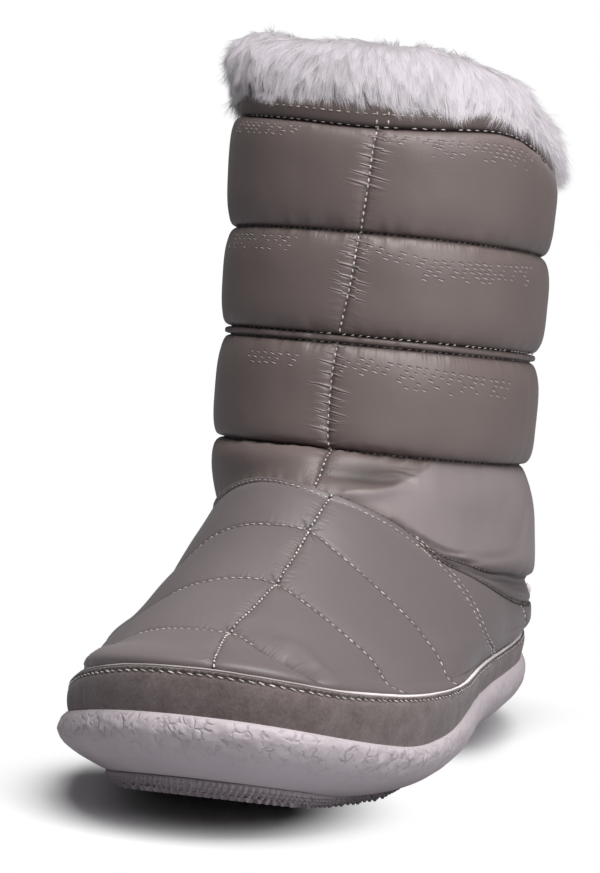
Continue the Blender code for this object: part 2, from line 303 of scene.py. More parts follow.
def link(piece: bpy.types.Object) -> bpy.types.Object:
    """Put a piece into the scene."""
    bpy.context.scene.collection.objects.link(piece)
    return piece


def paint(piece: bpy.types.Object, name: str, values: np.ndarray) -> None:
    """Store one number at each vertex, for a material or a tree to read."""
    attribute = piece.data.attributes.new(name, "FLOAT", "POINT")
    attribute.data.foreach_set("value", np.asarray(values, np.float32).ravel())


def paint_vector(piece: bpy.types.Object, name: str, values: np.ndarray) -> None:
    """Store one vector at each vertex, for a tree to read."""
    attribute = piece.data.attributes.new(name, "FLOAT_VECTOR", "POINT")
    attribute.data.foreach_set("vector", np.asarray(values, np.float32).ravel())


def settle(piece: bpy.types.Object) -> bpy.types.Object:
    """Turn a piece with modifiers into a plain mesh of the same name, and drop the modifiers."""
    graph = bpy.context.evaluated_depsgraph_get()
    data = bpy.data.meshes.new_from_object(piece.evaluated_get(graph))
    old = piece.data
    piece.modifiers.clear()
    piece.data = data
    data.name = piece.name
    bpy.data.meshes.remove(old)
    return piece


def dress(piece: bpy.types.Object, material: bpy.types.Material) -> bpy.types.Object:
    """Give a piece its material and slot, and let it ride on the boot."""
    piece.data.materials.clear()
    piece.data.materials.append(material)
    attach(piece, ROOT)
    return piece


# ---------------------------------------------------------------- the boot form


class Section(NamedTuple):
    """One closed section of the form: end points above the sole's top, half widths and shape."""

    name: str
    front_y: float
    front_z: float
    back_y: float
    back_z: float
    half_front: float
    half_back: float
    square_front: float
    square_back: float
    waist: float
    sag: float
    slant: float
    drift: float


class Waist(NamedTuple):
    """A pinch of the plan: which side, how deep, and where along the length."""

    side: float
    depth: float
    centre: float
    width: float


class RimPull(NamedTuple):
    """A place where the shaft's top edge is pulled up or down."""

    angle: float
    rise: float
    width: float


class SoleStep(NamedTuple):
    """One height of the sole's side, and how far it stands out from the featherline."""

    out: float
    height: float


SECTIONS = (
    Section("featherline", -131.0, 0.0, 131.0, 0.0, 59.0, 50.0, 2.45, 2.40, 1.0, 0.0, 0.0, -0.8),
    Section("foxing_top", -130.5, 14.0, 132.5, 14.0, 59.0, 50.5, 2.45, 2.40, 0.9, 0.0, 0.0, -0.8),
    Section("toe_box", -121.0, 18.5, 133.0, 17.0, 56.0, 51.5, 2.35, 2.35, 0.8, 1.5, 0.0, -0.8),
    Section("toe_top", -96.0, 30.0, 133.0, 19.5, 53.5, 51.5, 2.25, 2.30, 0.6, 4.5, 0.0, -0.8),
    Section("mid_vamp", -68.0, 43.5, 132.5, 22.5, 52.0, 51.0, 2.10, 2.25, 0.5, 9.0, 1.5, -1.3),
    Section("high_vamp", -42.0, 57.0, 131.5, 25.5, 50.0, 50.0, 2.05, 2.20, 0.3, 12.5, 2.5, -1.8),
    Section("vamp_seam", -21.0, 69.5, 129.0, 30.0, 47.5, 48.5, 2.00, 2.20, 0.1, 14.0, 3.5, -2.3),
    Section("ankle", -10.0, 75.5, 119.0, 51.0, 47.5, 47.0, 2.00, 2.20, 0.0, 5.0, 2.0, -3.1),
    Section("ring_three", -2.0, 80.5, 108.0, 71.0, 48.0, 47.5, 2.10, 2.20, 0.0, 0.0, 1.5, -2.6),
    Section("ring_two", 3.0, 113.5, 106.5, 105.5, 48.6, 48.3, 2.20, 2.20, 0.0, 0.0, 1.5, -1.8),
    Section("ring_one", 5.5, 148.5, 109.0, 140.0, 49.4, 49.2, 2.20, 2.20, 0.0, 0.0, 1.5, -1.3),
    Section("collar_seam", 8.0, 183.0, 111.5, 163.0, 50.0, 50.0, 2.20, 2.20, 0.0, 0.0, 2.0, -1.1),
    Section("collar_top", 9.5, 192.0, 111.0, 172.0, 49.0, 49.0, 2.20, 2.20, 0.0, 0.0, 2.0, -1.1),
)
LEVEL = {section.name: float(row) for row, section in enumerate(SECTIONS)}


@dataclass(frozen=True)
class BootForm:
    """The last-shaped form that every piece is laid over."""

    sole_thickness: float = 19.5
    arch_lift: float = 2.8
    arch_y: float = 25.0
    arch_half: float = 29.0
    inner_undercut: float = 5.0
    undercut_fade: float = 0.8
    heel_wedge: float = 6.0
    wedge_start_y: float = -85.0
    wedge_end_y: float = -20.0
    spring_start_y: float = -25.0
    spring_end_y: float = -123.0
    spring: float = 14.2
    toe_fullness: float = 0.12
    inflare_start_y: float = 29.0
    inflare_length: float = 146.0
    inflare: float = 8.0
    ball_end: float = 0.28
    heel_start: float = 0.77
    rim_pulls: tuple[RimPull, ...] = (
        RimPull(4.0, -1.9, 26.0), RimPull(-76.0, 4.8, 30.0), RimPull(66.0, 4.2, 26.0))
    waists: tuple[Waist, ...] = (Waist(1.0, 5.0, 0.55, 0.20), Waist(-1.0, 4.5, 0.62, 0.15))

    @property
    def top(self) -> float:
        """The highest level."""
        return len(SECTIONS) - 1.0

    def read(self, column: int, level: np.ndarray) -> np.ndarray:
        """Read a column of the section table at any level, along a curve that never overshoots.

        Args:
            column: place of the column in Section.
            level: levels to read at.

        Returns:
            The blended values.
        """
        values = np.array([row[column] for row in SECTIONS], float)
        last = len(values) - 1
        level = np.clip(level, 0.0, last)
        rises = np.diff(values)
        before, after = rises[:-1], rises[1:]
        same_way = before * after > 0.0
        inner = np.where(same_way, 2.0 * before * after / np.where(same_way, before + after, 1.0), 0.0)
        slopes = np.concatenate([rises[:1], inner, rises[-1:]])
        row = np.minimum(level.astype(int), last - 1)
        part = level - row
        return (values[row] * (1.0 + 2.0 * part) * (1.0 - part) ** 2 + slopes[row] * part * (1.0 - part) ** 2
                + values[row + 1] * part**2 * (3.0 - 2.0 * part) + slopes[row + 1] * part**2 * (part - 1.0))

    def toe_spring(self, y: np.ndarray) -> np.ndarray:
        """Height by which the toe end curls up."""
        share = (self.spring_start_y - y) / (self.spring_start_y - self.spring_end_y)
        return self.spring * np.clip(share, 0.0, None) ** 2

    def to_back(self, y: np.ndarray) -> np.ndarray:
        """Share of the change from the forefoot's sole to the heel's."""
        return ease((y - self.wedge_start_y) / (self.wedge_end_y - self.wedge_start_y))

    def seat_lift(self, y: np.ndarray) -> np.ndarray:
        """Height of the sole's top over its thinnest part: toe spring and heel wedge."""
        return self.toe_spring(y) + self.heel_wedge * self.to_back(y)

    def arch(self, y: np.ndarray) -> np.ndarray:
        """Height of the tread off the floor under the arch."""
        share = np.clip((y - self.arch_y) / self.arch_half, -1.0, 1.0)
        return self.arch_lift * (1.0 - share**2) ** 2

    def points(self, level: Any, angle: Any) -> np.ndarray:
        """Points of the form.

        Args:
            level: section number, with parts between.
            angle: degrees, 0 at the front and 90 at the big-toe side.

        Returns:
            Points in mm.
        """
        level, angle = np.broadcast_arrays(np.asarray(level, float), np.radians(np.asarray(angle, float)))
        (front_y, front_z, back_y, back_z, half_front, half_back, square_front, square_back,
         waist_share, sag, slant, drift) = (self.read(column, level) for column in range(1, 13))
        cosine, sine = np.cos(angle), np.sin(angle)
        power = 2.0 / np.where(cosine > 0.0, square_front, square_back)
        along = (1.0 - np.sign(cosine) * np.abs(cosine) ** power) / 2.0
        across = np.sign(sine) * np.abs(sine) ** power
        to_heel = ease((along - self.ball_end) / (self.heel_start - self.ball_end))
        half = half_front + (half_back - half_front) * to_heel
        for waist in self.waists:
            pinch = np.exp(-((along - waist.centre) / waist.width) ** 2) * ease(1.5 * waist.side * sine)
            half = half - waist_share * waist.depth * pinch
        y = front_y + (back_y - front_y) * along
        bend = self.inflare * np.clip((self.inflare_start_y - y) / self.inflare_length, 0.0, None) ** 2
        x = across * half + drift + bend
        z = front_z + (back_z - front_z) * along - sag * sine**2 - slant * across
        turned = (np.degrees(angle) + 180.0) % 360.0 - 180.0
        rim = sum(pull.rise * np.exp(-((turned - pull.angle) / pull.width) ** 2) for pull in self.rim_pulls)
        z = z + rim * ease(level - LEVEL["ring_one"])
        wedge = self.heel_wedge * self.to_back(y) * (1.0 - ease(level))
        return np.stack([x, y, self.sole_thickness + z + self.toe_spring(y) + wedge], axis=-1)

    def climb(self, level: Any, angle: Any) -> np.ndarray:
        """Unit vectors up the form."""
        level = np.asarray(level, float)
        return unit(self.points(np.minimum(level + 0.02, self.top), angle)
                    - self.points(np.maximum(level - 0.02, 0.0), angle))

    def outward(self, level: Any, angle: Any) -> np.ndarray:
        """Unit vectors out of the form, turning level at the sole and at the collar seam."""
        level, angle = np.broadcast_arrays(np.asarray(level, float), np.asarray(angle, float))
        around = self.points(level, angle + 0.5) - self.points(level, angle - 0.5)
        normal = np.cross(around, self.climb(level, angle))
        normal[..., 2] *= ease(level / 1.5) * ease((LEVEL["collar_seam"] - level) / 0.6)
        return unit(normal)

    def sole_rise(self, step: SoleStep, y: np.ndarray) -> np.ndarray:
        """Height of a step of the sole, with its toe spring and arch."""
        share = 1.0 - step.height / self.sole_thickness
        spring = self.toe_spring(y) * (1.0 - self.toe_fullness * share)
        return step.height + spring + self.arch(y) * share + self.heel_wedge * self.to_back(y) * (1.0 - share)

    def sole_ring(self, step: SoleStep, angle: np.ndarray, shrink: float = 0.0) -> np.ndarray:
        """One ring of the sole.

        Args:
            step: how far out and how high.
            angle: degrees, all the way round once.
            shrink: extra distance inwards, in mm.

        Returns:
            Points in mm, and they lie at the step's height with toe spring and arch.
        """
        outline = self.points(0.0, angle)
        share = 1.0 - step.height / self.sole_thickness
        undercut = self.inner_undercut * (1.0 - self.undercut_fade * self.to_back(outline[:, 1]))
        out = step.out - undercut * share * ease(np.sin(np.radians(angle))) - shrink
        points = outline + self.plan_normal(outline) * out[:, None]
        points[:, 2] = self.sole_rise(step, points[:, 1])
        return points

    def seat_ring(self, out: float, height: float, angle: np.ndarray) -> np.ndarray:
        """A ring along the sole's top: the featherline moved out in plan, at a height."""
        outline = self.points(0.0, angle)
        points = outline + self.plan_normal(outline) * out
        points[:, 2] = height + self.seat_lift(points[:, 1])
        return points

    @staticmethod
    def plan_normal(outline: np.ndarray) -> np.ndarray:
        """Unit vectors out of a closed outline, seen from above."""
        along = np.roll(outline, -1, axis=0) - np.roll(outline, 1, axis=0)
        return unit(np.stack([along[:, 1], -along[:, 0], np.zeros(len(outline))], axis=-1))


FORM = BootForm()


def columns_by_length(level: float, count: int,
                      weight: Callable[[np.ndarray], np.ndarray] = np.ones_like) -> np.ndarray:
    """Angles of the columns, spaced by length along one section and closer where the weight is more.

    Args:
        level: the section to measure along.
        count: number of columns.
        weight: closeness wanted at each angle; even if it isn't given.

    Returns:
        Angles in degrees from -180, without the end.
    """
    fine = np.linspace(-180.0, 180.0, 2881)
    steps = np.linalg.norm(np.diff(FORM.points(level, fine), axis=0), axis=1)
    total = np.concatenate([[0.0], np.cumsum(steps * weight((fine[1:] + fine[:-1]) / 2.0))])
    return np.interp(np.arange(count) / count * total[-1], total, fine)


def cross(rows: np.ndarray, angle: np.ndarray) -> tuple[np.ndarray, np.ndarray]:
    """Repeat values down the rows and angles across the columns, as two arrays of one shape."""
    return tuple(np.broadcast_arrays(rows[:, None], angle))


class Knot(NamedTuple):
    """A point of a seam or crease on the form."""

    level: float
    angle: float


class EdgeLine:
    """An edge all the way round the boot, as a level at each angle."""

    def __init__(self, *knots: tuple[float, float], softness: float = 5.0) -> None:
        """Smooth knots, each an angle and a level, into a line; softness is in degrees."""
        self.angles = np.arange(-180.0, 181.0)
        raw = np.interp(self.angles[:-1], *zip(*knots), period=360.0)
        reach = np.arange(-20, 21)
        kernel = np.exp(-(reach / softness) ** 2)
        smooth = np.convolve(np.concatenate([raw[-20:], raw, raw[:20]]), kernel / kernel.sum(), "valid")
        self.levels = np.append(smooth, smooth[0])

    def at(self, angle: np.ndarray) -> np.ndarray:
        """The edge's level at each angle."""
        return np.interp((np.asarray(angle) + 180.0) % 360.0 - 180.0, self.angles, self.levels)


def course(*knots: tuple[float, float]) -> tuple[Knot, ...]:
    """Knots of a seam or crease, each given as a level and an angle."""
    return tuple(Knot(*knot) for knot in knots)


def thread_through(knots: Sequence[Knot], step: float = 0.5) -> np.ndarray:
    """Draw a smooth line through knots.

    Args:
        knots: the points that the line passes.
        step: spacing in mm.

    Returns:
        n by 2 levels and angles, evenly spaced along the form.
    """
    ends = [knots[0], *knots, knots[-1]]
    line = []
    for before, start, end, after in zip(ends, ends[1:], ends[2:], ends[3:]):
        t = np.linspace(0.0, 1.0, 24, endpoint=False)[:, None]
        a, b, c, d = (np.array(k, float) for k in (before, start, end, after))
        bend, twist = 2 * a - 5 * b + 4 * c - d, 3 * b - a - 3 * c + d
        line.append(0.5 * (2 * b + (c - a) * t + bend * t**2 + twist * t**3))
    path = np.concatenate([*line, [np.array(knots[-1], float)]])
    length = run_along(FORM.points(path[:, 0], path[:, 1]))
    places = np.linspace(0.0, length[-1], max(int(length[-1] / step), 4))
    return np.stack([np.interp(places, length, path[:, 0]), np.interp(places, length, path[:, 1])], -1)


class Nearest:
    """Distance from many points to one line on the form, and how far along it the nearest point lies."""

    def __init__(self, path: np.ndarray) -> None:
        """Keep the line's points in mm; path holds levels and angles."""
        self.points = FORM.points(path[:, 0], path[:, 1])
        self.along = run_along(self.points)
        self.aside = np.cross(FORM.outward(path[:, 0], path[:, 1]), unit(np.gradient(self.points, axis=0)))

    def measure(self, places: np.ndarray) -> tuple[np.ndarray, np.ndarray, np.ndarray]:
        """Measure from every place.

        Args:
            places: points in mm.

        Returns:
            Distance to the line and distance along it, both in mm, and the side, 1 or -1.
        """
        flat = places.reshape(-1, 3)
        gap = np.full(len(flat), 1e3)
        along = np.zeros(len(flat))
        side = np.ones(len(flat))
        low, high = self.points.min(0) - 30.0, self.points.max(0) + 30.0
        near = np.flatnonzero(np.all((flat > low) & (flat < high), axis=1))
        for start in range(0, len(near), 8000):
            chosen = near[start:start + 8000]
            square = ((flat[chosen, None, :] - self.points[None]) ** 2).sum(-1)
            best = square.argmin(1)
            gap[chosen] = np.sqrt(square[np.arange(len(chosen)), best])
            along[chosen] = self.along[best]
            side[chosen] = np.sign(((flat[chosen] - self.points[best]) * self.aside[best]).sum(-1) + 1e-9)
        shape = places.shape[:-1]
        return gap.reshape(shape), along.reshape(shape), side.reshape(shape)


# ---------------------------------------------------------------- finishes


class Finish:
    """A material: a subclass names what it is made of and writes its nodes."""

    name: str = "finish"

    def write(self, nodes: Nodes, shader: bpy.types.Node) -> None:
        """Write the nodes that feed the shader."""
        raise NotImplementedError

    def make(self) -> bpy.types.Material:
        """Make the material once and hand the same one back after that."""
        found = bpy.data.materials.get(self.name)
        if found:
            return found
        material = bpy.data.materials.new(self.name)
        material.use_nodes = True
        self.write(Nodes(material.node_tree), material.node_tree.nodes["Principled BSDF"])
        return material


@dataclass(frozen=True)
class SatinNylon(Finish):
    """Woven nylon satin, piece dyed and calendered: a soft broad sheen over a very fine weave."""

    name: str = "nylon_satin_woven"
    warm: str = "#746763"
    cool: str = "#6A5E5C"
    # painted shade: drawn into seams, creases, tucks and fold troughs, where shade falls
    painted_shade: str = "#342B2A"
    fold_highlight: str = "#A69C9A"      # painted highlight on the ridge of each sharp fold
    turned: str = "#8F8485"    # painted highlight: lighter patches from a mask, not from the lights
    cloud_mm: float = 26.0
    roughness: float = 0.44
    thread_mm: float = 0.55    # real threads are 0.2 mm apart; drawn coarser so that they show
    thread_depth: float = 0.06
    slub_mm: float = 2.4
    slub_depth: float = 0.2
    gather_mm: float = 1.25    # one fine gather beside a seam
    gather_wander: float = 0.09
    gather_reach: float = 6.0
    gather_depth: float = 0.55
    pucker_mm: float = 3.1     # one sharp fold across a seam
    pucker_shortest: float = 4.5
    pucker_longest: float = 8.5
    pucker_depth: float = 0.35

    def write(self, nodes: Nodes, shader: bpy.types.Node) -> None:
        """Cloth colour with painted shade along seams and creases and painted highlights, with weave, slubs
        and folds in relief.
        """
        cloud = nodes.noise(nodes.place(), self.cloud_mm, 3.0)
        # painted shade: darker where the mesh marks seams, creases and tucks
        shade_share = nodes.math("MULTIPLY", nodes.painted("painted_shade"), 0.8, clamp=True)
        colour = nodes.blend(shade_share, nodes.blend(cloud, self.warm, self.cool), self.painted_shade)
        colour, folded = self.write_puckers(nodes, colour, self.write_gathers(nodes))
        # painted highlight: a mask mixes the cloth towards a lighter colour, standing in for satin sheen
        colour = nodes.blend(nodes.painted("painted_highlight"), colour, self.turned)
        threads = 1.0 / (self.thread_mm * MM)
        weft = nodes.add("ShaderNodeMapping", inputs={
            "Vector": nodes.place("UV"), "Scale": (0.35 * threads, threads, 1.0)})
        weave = nodes.add("ShaderNodeTexNoise", inputs={"Vector": weft, "Scale": 1.0, "Detail": 1.0})
        fine = nodes.bump(0.28, self.thread_depth, weave, folded)
        broad = nodes.bump(0.3, self.slub_depth, nodes.noise(nodes.place(), self.slub_mm, 4.0), fine)
        rub = nodes.ramp(cloud, low=self.roughness - 0.04, high=self.roughness + 0.06)
        nodes.feed(shader, {"Base Color": colour, "Normal": broad, "Roughness": rub, "IOR": 1.53,
                            "Sheen Weight": 0.10, "Sheen Roughness": 0.35})

    def write_gathers(self, nodes: Nodes) -> bpy.types.NodeSocket:
        """Fine folds that run out from a seam and fade with distance from it."""
        along, away, strength = nodes.split(nodes.painted("gathers", "Vector"))
        line = nodes.join(nodes.math("MULTIPLY", along, 1.0 / self.gather_mm),
                          nodes.math("MULTIPLY", away, self.gather_wander))
        folds = nodes.add("ShaderNodeTexNoise", inputs={"Vector": line, "Scale": 1.0, "Detail": 1.0})
        fade = nodes.ramp(away, 0.4, self.gather_reach, 1.0, 0.0, soft=True)
        return nodes.bump(nodes.math("MULTIPLY", fade, strength), self.gather_depth, folds)

    def write_puckers(self, nodes: Nodes, colour: bpy.types.NodeSocket,
                      under: bpy.types.NodeSocket) -> tuple[bpy.types.NodeSocket, bpy.types.NodeSocket]:
        """Sharp folds that cross a seam, each a ridge with a painted highlight and a trough with painted
        shade, thinning to a point.

        Args:
            nodes: the material's tree.
            colour: the cloth's colour.
            under: the relief below this one.

        Returns:
            The colour and the relief with the folds in them.
        """
        along, across, strength = nodes.split(nodes.painted("puckers", "Vector"))
        count = nodes.math("DIVIDE", along, self.pucker_mm)
        drift = nodes.add("ShaderNodeTexNoise", {"noise_dimensions": "1D"}, {
            "W": count, "Scale": 0.3, "Detail": 0.0})
        place = nodes.math("ADD", count, drift)
        number, part = nodes.math("FLOOR", place), nodes.math("FRACT", place)
        pair = nodes.join(number, nodes.math("SIGN", across))
        luck = nodes.add("ShaderNodeTexWhiteNoise", {"noise_dimensions": "3D"}, {"Vector": pair})
        span = nodes.ramp(luck.outputs["Value"], low=self.pucker_shortest, high=self.pucker_longest)
        reach = nodes.math("MULTIPLY", span, strength)
        left = nodes.math("SUBTRACT", reach, nodes.math("ABSOLUTE", across))
        fade = nodes.math("DIVIDE", left, reach, clamp=True)
        wide = nodes.math("MULTIPLY_ADD", fade, 0.10, 0.06)
        lines = []
        # each fold gets a painted highlight on its ridge and painted shade in its trough
        for centre, tint, share in ((0.50, self.fold_highlight, 0.95), (0.66, self.painted_shade, 0.4)):
            aside = nodes.math("ABSOLUTE", nodes.math("SUBTRACT", part, centre))
            lines.append(nodes.math("MULTIPLY", nodes.ramp(aside, 0.0, wide, 1.0, 0.0), fade))
            colour = nodes.blend(nodes.math("MULTIPLY", lines[-1], share), colour, tint)
        return colour, nodes.bump(0.8, self.pucker_depth, nodes.math("SUBTRACT", *lines), under)


@dataclass(frozen=True)
class BuffedNubuck(Finish):
    """Calf leather buffed on the grain side: matt, mottled, with a fine dusty nap."""

    name: str = "nubuck_leather_buffed"
    light: str = "#7C706F"
    dark: str = "#5C5150"
    grain_mm: float = 0.9
    cloud_mm: float = 7.0
    nap_depth: float = 0.25

    def write(self, nodes: Nodes, shader: bpy.types.Node) -> None:
        """Mottled colour and a close nap."""
        nap = nodes.noise(nodes.place(), self.grain_mm, 3.0, Roughness=0.7)
        cloud = nodes.noise(nodes.place(), self.cloud_mm, 4.0, Roughness=0.65)
        both = nodes.math("MULTIPLY_ADD", nap, 0.75, cloud)
        nodes.feed(shader, {"Base Color": nodes.blend(nodes.ramp(both, 0.62, 1.12), self.dark, self.light),
                            "Normal": nodes.bump(0.6, self.nap_depth, both), "Roughness": 0.92,
                            "Specular IOR Level": 0.25, "Sheen Weight": 0.15, "Sheen Roughness": 0.6})


@dataclass(frozen=True)
class MouldedFoam(Finish):
    """Closed-cell EVA foam, injection moulded: matt, slightly pink, leathery where it shrank on the mould."""

    name: str = "eva_foam_moulded"
    light: str = "#CAC0C4"
    dark: str = "#BAB0B4"
    crease: str = "#8C8286"
    cloud_mm: float = 14.0
    warp_mm: float = 4.0       # lumps of the noise that bends the cells out of line
    warp_reach: float = 3.0    # and how far it moves them
    cell_mm: float = 2.6
    grain_mm: float = 0.8
    skin_depth: float = 0.55

    def write(self, nodes: Nodes, shader: bpy.types.Node) -> None:
        """Foam colour with a crackled skin, stronger where the mesh says so."""
        place = nodes.place()
        warp = nodes.noise(place, self.warp_mm, 2.0)
        bent = nodes.vector("MULTIPLY_ADD", warp.outputs["Color"], (self.warp_reach * MM,) * 3, place)
        cells = 1.0 / (self.cell_mm * MM)
        cell = nodes.add("ShaderNodeTexVoronoi", {"feature": "SMOOTH_F1"}, {
            "Vector": bent, "Scale": cells, "Smoothness": 0.35})
        edge = nodes.add("ShaderNodeTexVoronoi", {"feature": "DISTANCE_TO_EDGE"}, {
            "Vector": bent, "Scale": 0.8 * cells})
        thin = nodes.ramp(edge.outputs["Distance"], 0.02, 0.15, 1.0, 0.0, soft=True)
        broken = nodes.ramp(warp, 0.45, 0.58, soft=True)
        crackle = nodes.painted("crackle")
        wrinkle = nodes.math("MULTIPLY", nodes.math("MULTIPLY", thin, broken), crackle)
        plain = nodes.blend(nodes.noise(place, self.cloud_mm, 3.0), self.dark, self.light)
        pebble = nodes.math("MULTIPLY", cell.outputs["Distance"], crackle)
        height = nodes.math("MULTIPLY_ADD", nodes.noise(place, self.grain_mm, 3.0), 0.2, pebble)
        height = nodes.math("MULTIPLY_ADD", wrinkle, -0.8, height)
        colour = nodes.blend(nodes.math("MULTIPLY", wrinkle, 0.35), plain, self.crease)
        nodes.feed(shader, {"Base Color": colour, "Normal": nodes.bump(0.55, self.skin_depth, height),
                            "Roughness": 0.6,
                            "Specular IOR Level": 0.35})


@dataclass(frozen=True)
class TreadRubber(Finish):
    """Thermoplastic rubber, moulded: the foam's colour, a little duller and darker."""

    name: str = "tpr_rubber_moulded"
    light: str = "#A99FA3"
    dark: str = "#8F8589"
    grain_mm: float = 1.5
    grain_depth: float = 0.15

    def write(self, nodes: Nodes, shader: bpy.types.Node) -> None:
        """Rubber colour with a dusting of grain."""
        grain = nodes.noise(nodes.place(), self.grain_mm, 3.0)
        nodes.feed(shader, {"Base Color": nodes.blend(grain, self.dark, self.light),
                            "Normal": nodes.bump(0.3, self.grain_depth, grain), "Roughness": 0.7})


@dataclass(frozen=True)
class SewingThread(Finish):
    """Bonded polyester thread: twisted, with a dull shine, and a tone of its own in each stitch."""

    name: str = "polyester_thread_light"
    light: str = "#DDD3CE"
    dark: str = "#A89D99"

    def write(self, nodes: Nodes, shader: bpy.types.Node) -> None:
        """Thread colour, a little different in each stitch."""
        nodes.feed(shader, {"Base Color": nodes.blend(nodes.painted("tone"), self.dark, self.light),
                            "Roughness": 0.5, "Sheen Weight": 0.2})


@dataclass(frozen=True)
class CordPiping(Finish):
    """Narrow woven tape folded over a cord: pale, matt, finely ribbed."""

    name: str = "polyester_piping_woven"
    light: str = "#E9E1E0"
    dark: str = "#7A6F6C"
    rib_mm: float = 0.8
    rib_depth: float = 0.2

    def write(self, nodes: Nodes, shader: bpy.types.Node) -> None:
        """Tape colour, darker where the mesh says so, with ribs across it."""
        ribs = nodes.noise(nodes.place(), self.rib_mm, 2.0)
        nodes.feed(shader, {"Base Color": nodes.blend(nodes.painted("pale_share"), self.dark, self.light),
                            "Normal": nodes.bump(0.5, self.rib_depth, ribs), "Roughness": 0.8})


@dataclass(frozen=True)
class PlushPile(Finish):
    """Acrylic plush, knitted and sheared: soft hairs, deeper in tone at their roots than at their tips."""

    name: str = "acrylic_plush_pile"
    root: str = "#B3ADB1"
    tip: str = "#D6D2D6"
    glow: float = 0.42         # share of the light that passes through each hair
    lift: tuple[float, float, float] = (0.10, -0.7, 1.9)    # turns the shading up and to the front
    own: float = 0.3           # share of each hair's own direction that is left in the shading

    def write(self, nodes: Nodes, shader: bpy.types.Node) -> None:
        """Hair colour from root to tip, with a tone of its own in each hair, shaded by the cloth below it."""
        rise = nodes.math("MULTIPLY_ADD", nodes.painted("tone"), 0.35, nodes.painted("share"), clamp=True)
        colour = nodes.blend(rise, self.root, self.tip)
        own = nodes.scaled(nodes.add("ShaderNodeNewGeometry").outputs["Normal"], self.own)
        total = nodes.vector("ADD", nodes.vector("ADD", nodes.painted("skin", "Vector"), self.lift), own)
        nodes.feed(shader, {"Base Color": colour, "Normal": nodes.vector("NORMALIZE", total),
                            "Roughness": 0.75, "Specular IOR Level": 0.25})
        through = nodes.add("ShaderNodeBsdfTranslucent", inputs={"Color": colour})
        both = nodes.add("ShaderNodeMixShader", inputs={0: self.glow, 1: shader, 2: through})
        nodes.feed(nodes.tree.nodes["Material Output"], {"Surface": both})


@dataclass(frozen=True)
class PlushCloth(Finish):
    """Short acrylic fleece, knitted and brushed: even, soft and matt, with small curls."""

    name: str = "acrylic_fleece_brushed"
    light: str = "#E2DCDC"
    dark: str = "#BDB3B4"
    curl_mm: float = 1.8
    curl_depth: float = 0.9

    def write(self, nodes: Nodes, shader: bpy.types.Node) -> None:
        """Fleece colour with small curls in relief."""
        curls = nodes.noise(nodes.place(), self.curl_mm, 4.0, Roughness=0.65, Distortion=0.6)
        nodes.feed(shader, {"Base Color": nodes.blend(curls, self.dark, self.light),
                            "Normal": nodes.bump(0.9, self.curl_depth, curls), "Roughness": 0.95,
                            "Sheen Weight": 0.4})


@dataclass(frozen=True)
class SweepFloor(Finish):
    """Matt painted board: plain near the boot, and evenly lit to white further away."""

    name: str = "painted_board_floor"
    paint: str = "#FDFDFD"
    bounce: str = "#A6A6AA"    # dull to light that bounces up, so that the boot keeps its own shadows
    toe: tuple[float, float, float] = (-0.022, -0.088, 0.0)
    heel: tuple[float, float, float] = (0.0, 0.085, 0.0)
    near_mm: float = 42.0
    far_mm: float = 82.0

    def write(self, nodes: Nodes, shader: bpy.types.Node) -> None:
        """Plain white paint that fades, for the camera alone, into an evenly lit sweep."""
        from_toe, from_heel = (nodes.add("ShaderNodeVectorMath", {"operation": "DISTANCE"}, {
            0: nodes.place(), 1: end}).outputs["Value"] for end in (self.toe, self.heel))
        away = nodes.math("MINIMUM", from_toe, from_heel)
        fade = nodes.ramp(away, self.near_mm * MM, self.far_mm * MM, soft=True)
        lit = nodes.add("ShaderNodeEmission", inputs={"Color": (1.0, 1.0, 1.0, 1.0)})
        camera = nodes.add("ShaderNodeLightPath").outputs["Is Camera Ray"]
        seen = nodes.math("MULTIPLY", fade, camera)
        nodes.feed(shader, {"Base Color": nodes.blend(camera, self.bounce, self.paint), "Roughness": 0.9,
                            "Specular IOR Level": 0.1})
        both = nodes.add("ShaderNodeMixShader", inputs={0: seen, 1: shader, 2: lit})
        nodes.feed(nodes.tree.nodes["Material Output"], {"Surface": both})


NYLON = SatinNylon()
VAMP_NYLON = SatinNylon("nylon_satin_woven_cool", warm="#736969", cool="#6C6364")
# painted light and shade: needle marks come as a light copy for their lit side and a dark copy for their
# shade
NEEDLE_MARKS_LIT_AND_SHADED = SewingThread("nylon_needle_marks_lit_and_shaded", light="#ADA29F", dark="#5F5452")
NUBUCK = BuffedNubuck()
FOAM = MouldedFoam()
RUBBER = TreadRubber()
PIPING = CordPiping()
PILE = PlushPile()
FLEECE = PlushCloth()


# ---------------------------------------------------------------- repeated pieces


class Thread(Enum):
    """Threads sewn into the boot."""

    LIGHT = SewingThread()
    TAUPE = SewingThread("polyester_thread_taupe", light="#8F8482", dark="#5F5553")
    DARK = SewingThread("polyester_thread_dark", light="#5A4F4D", dark="#3A312F")


class Shape(Enum):
    """Small shapes that are repeated."""

    STITCH = "stitch"
    KNOB = "knob"


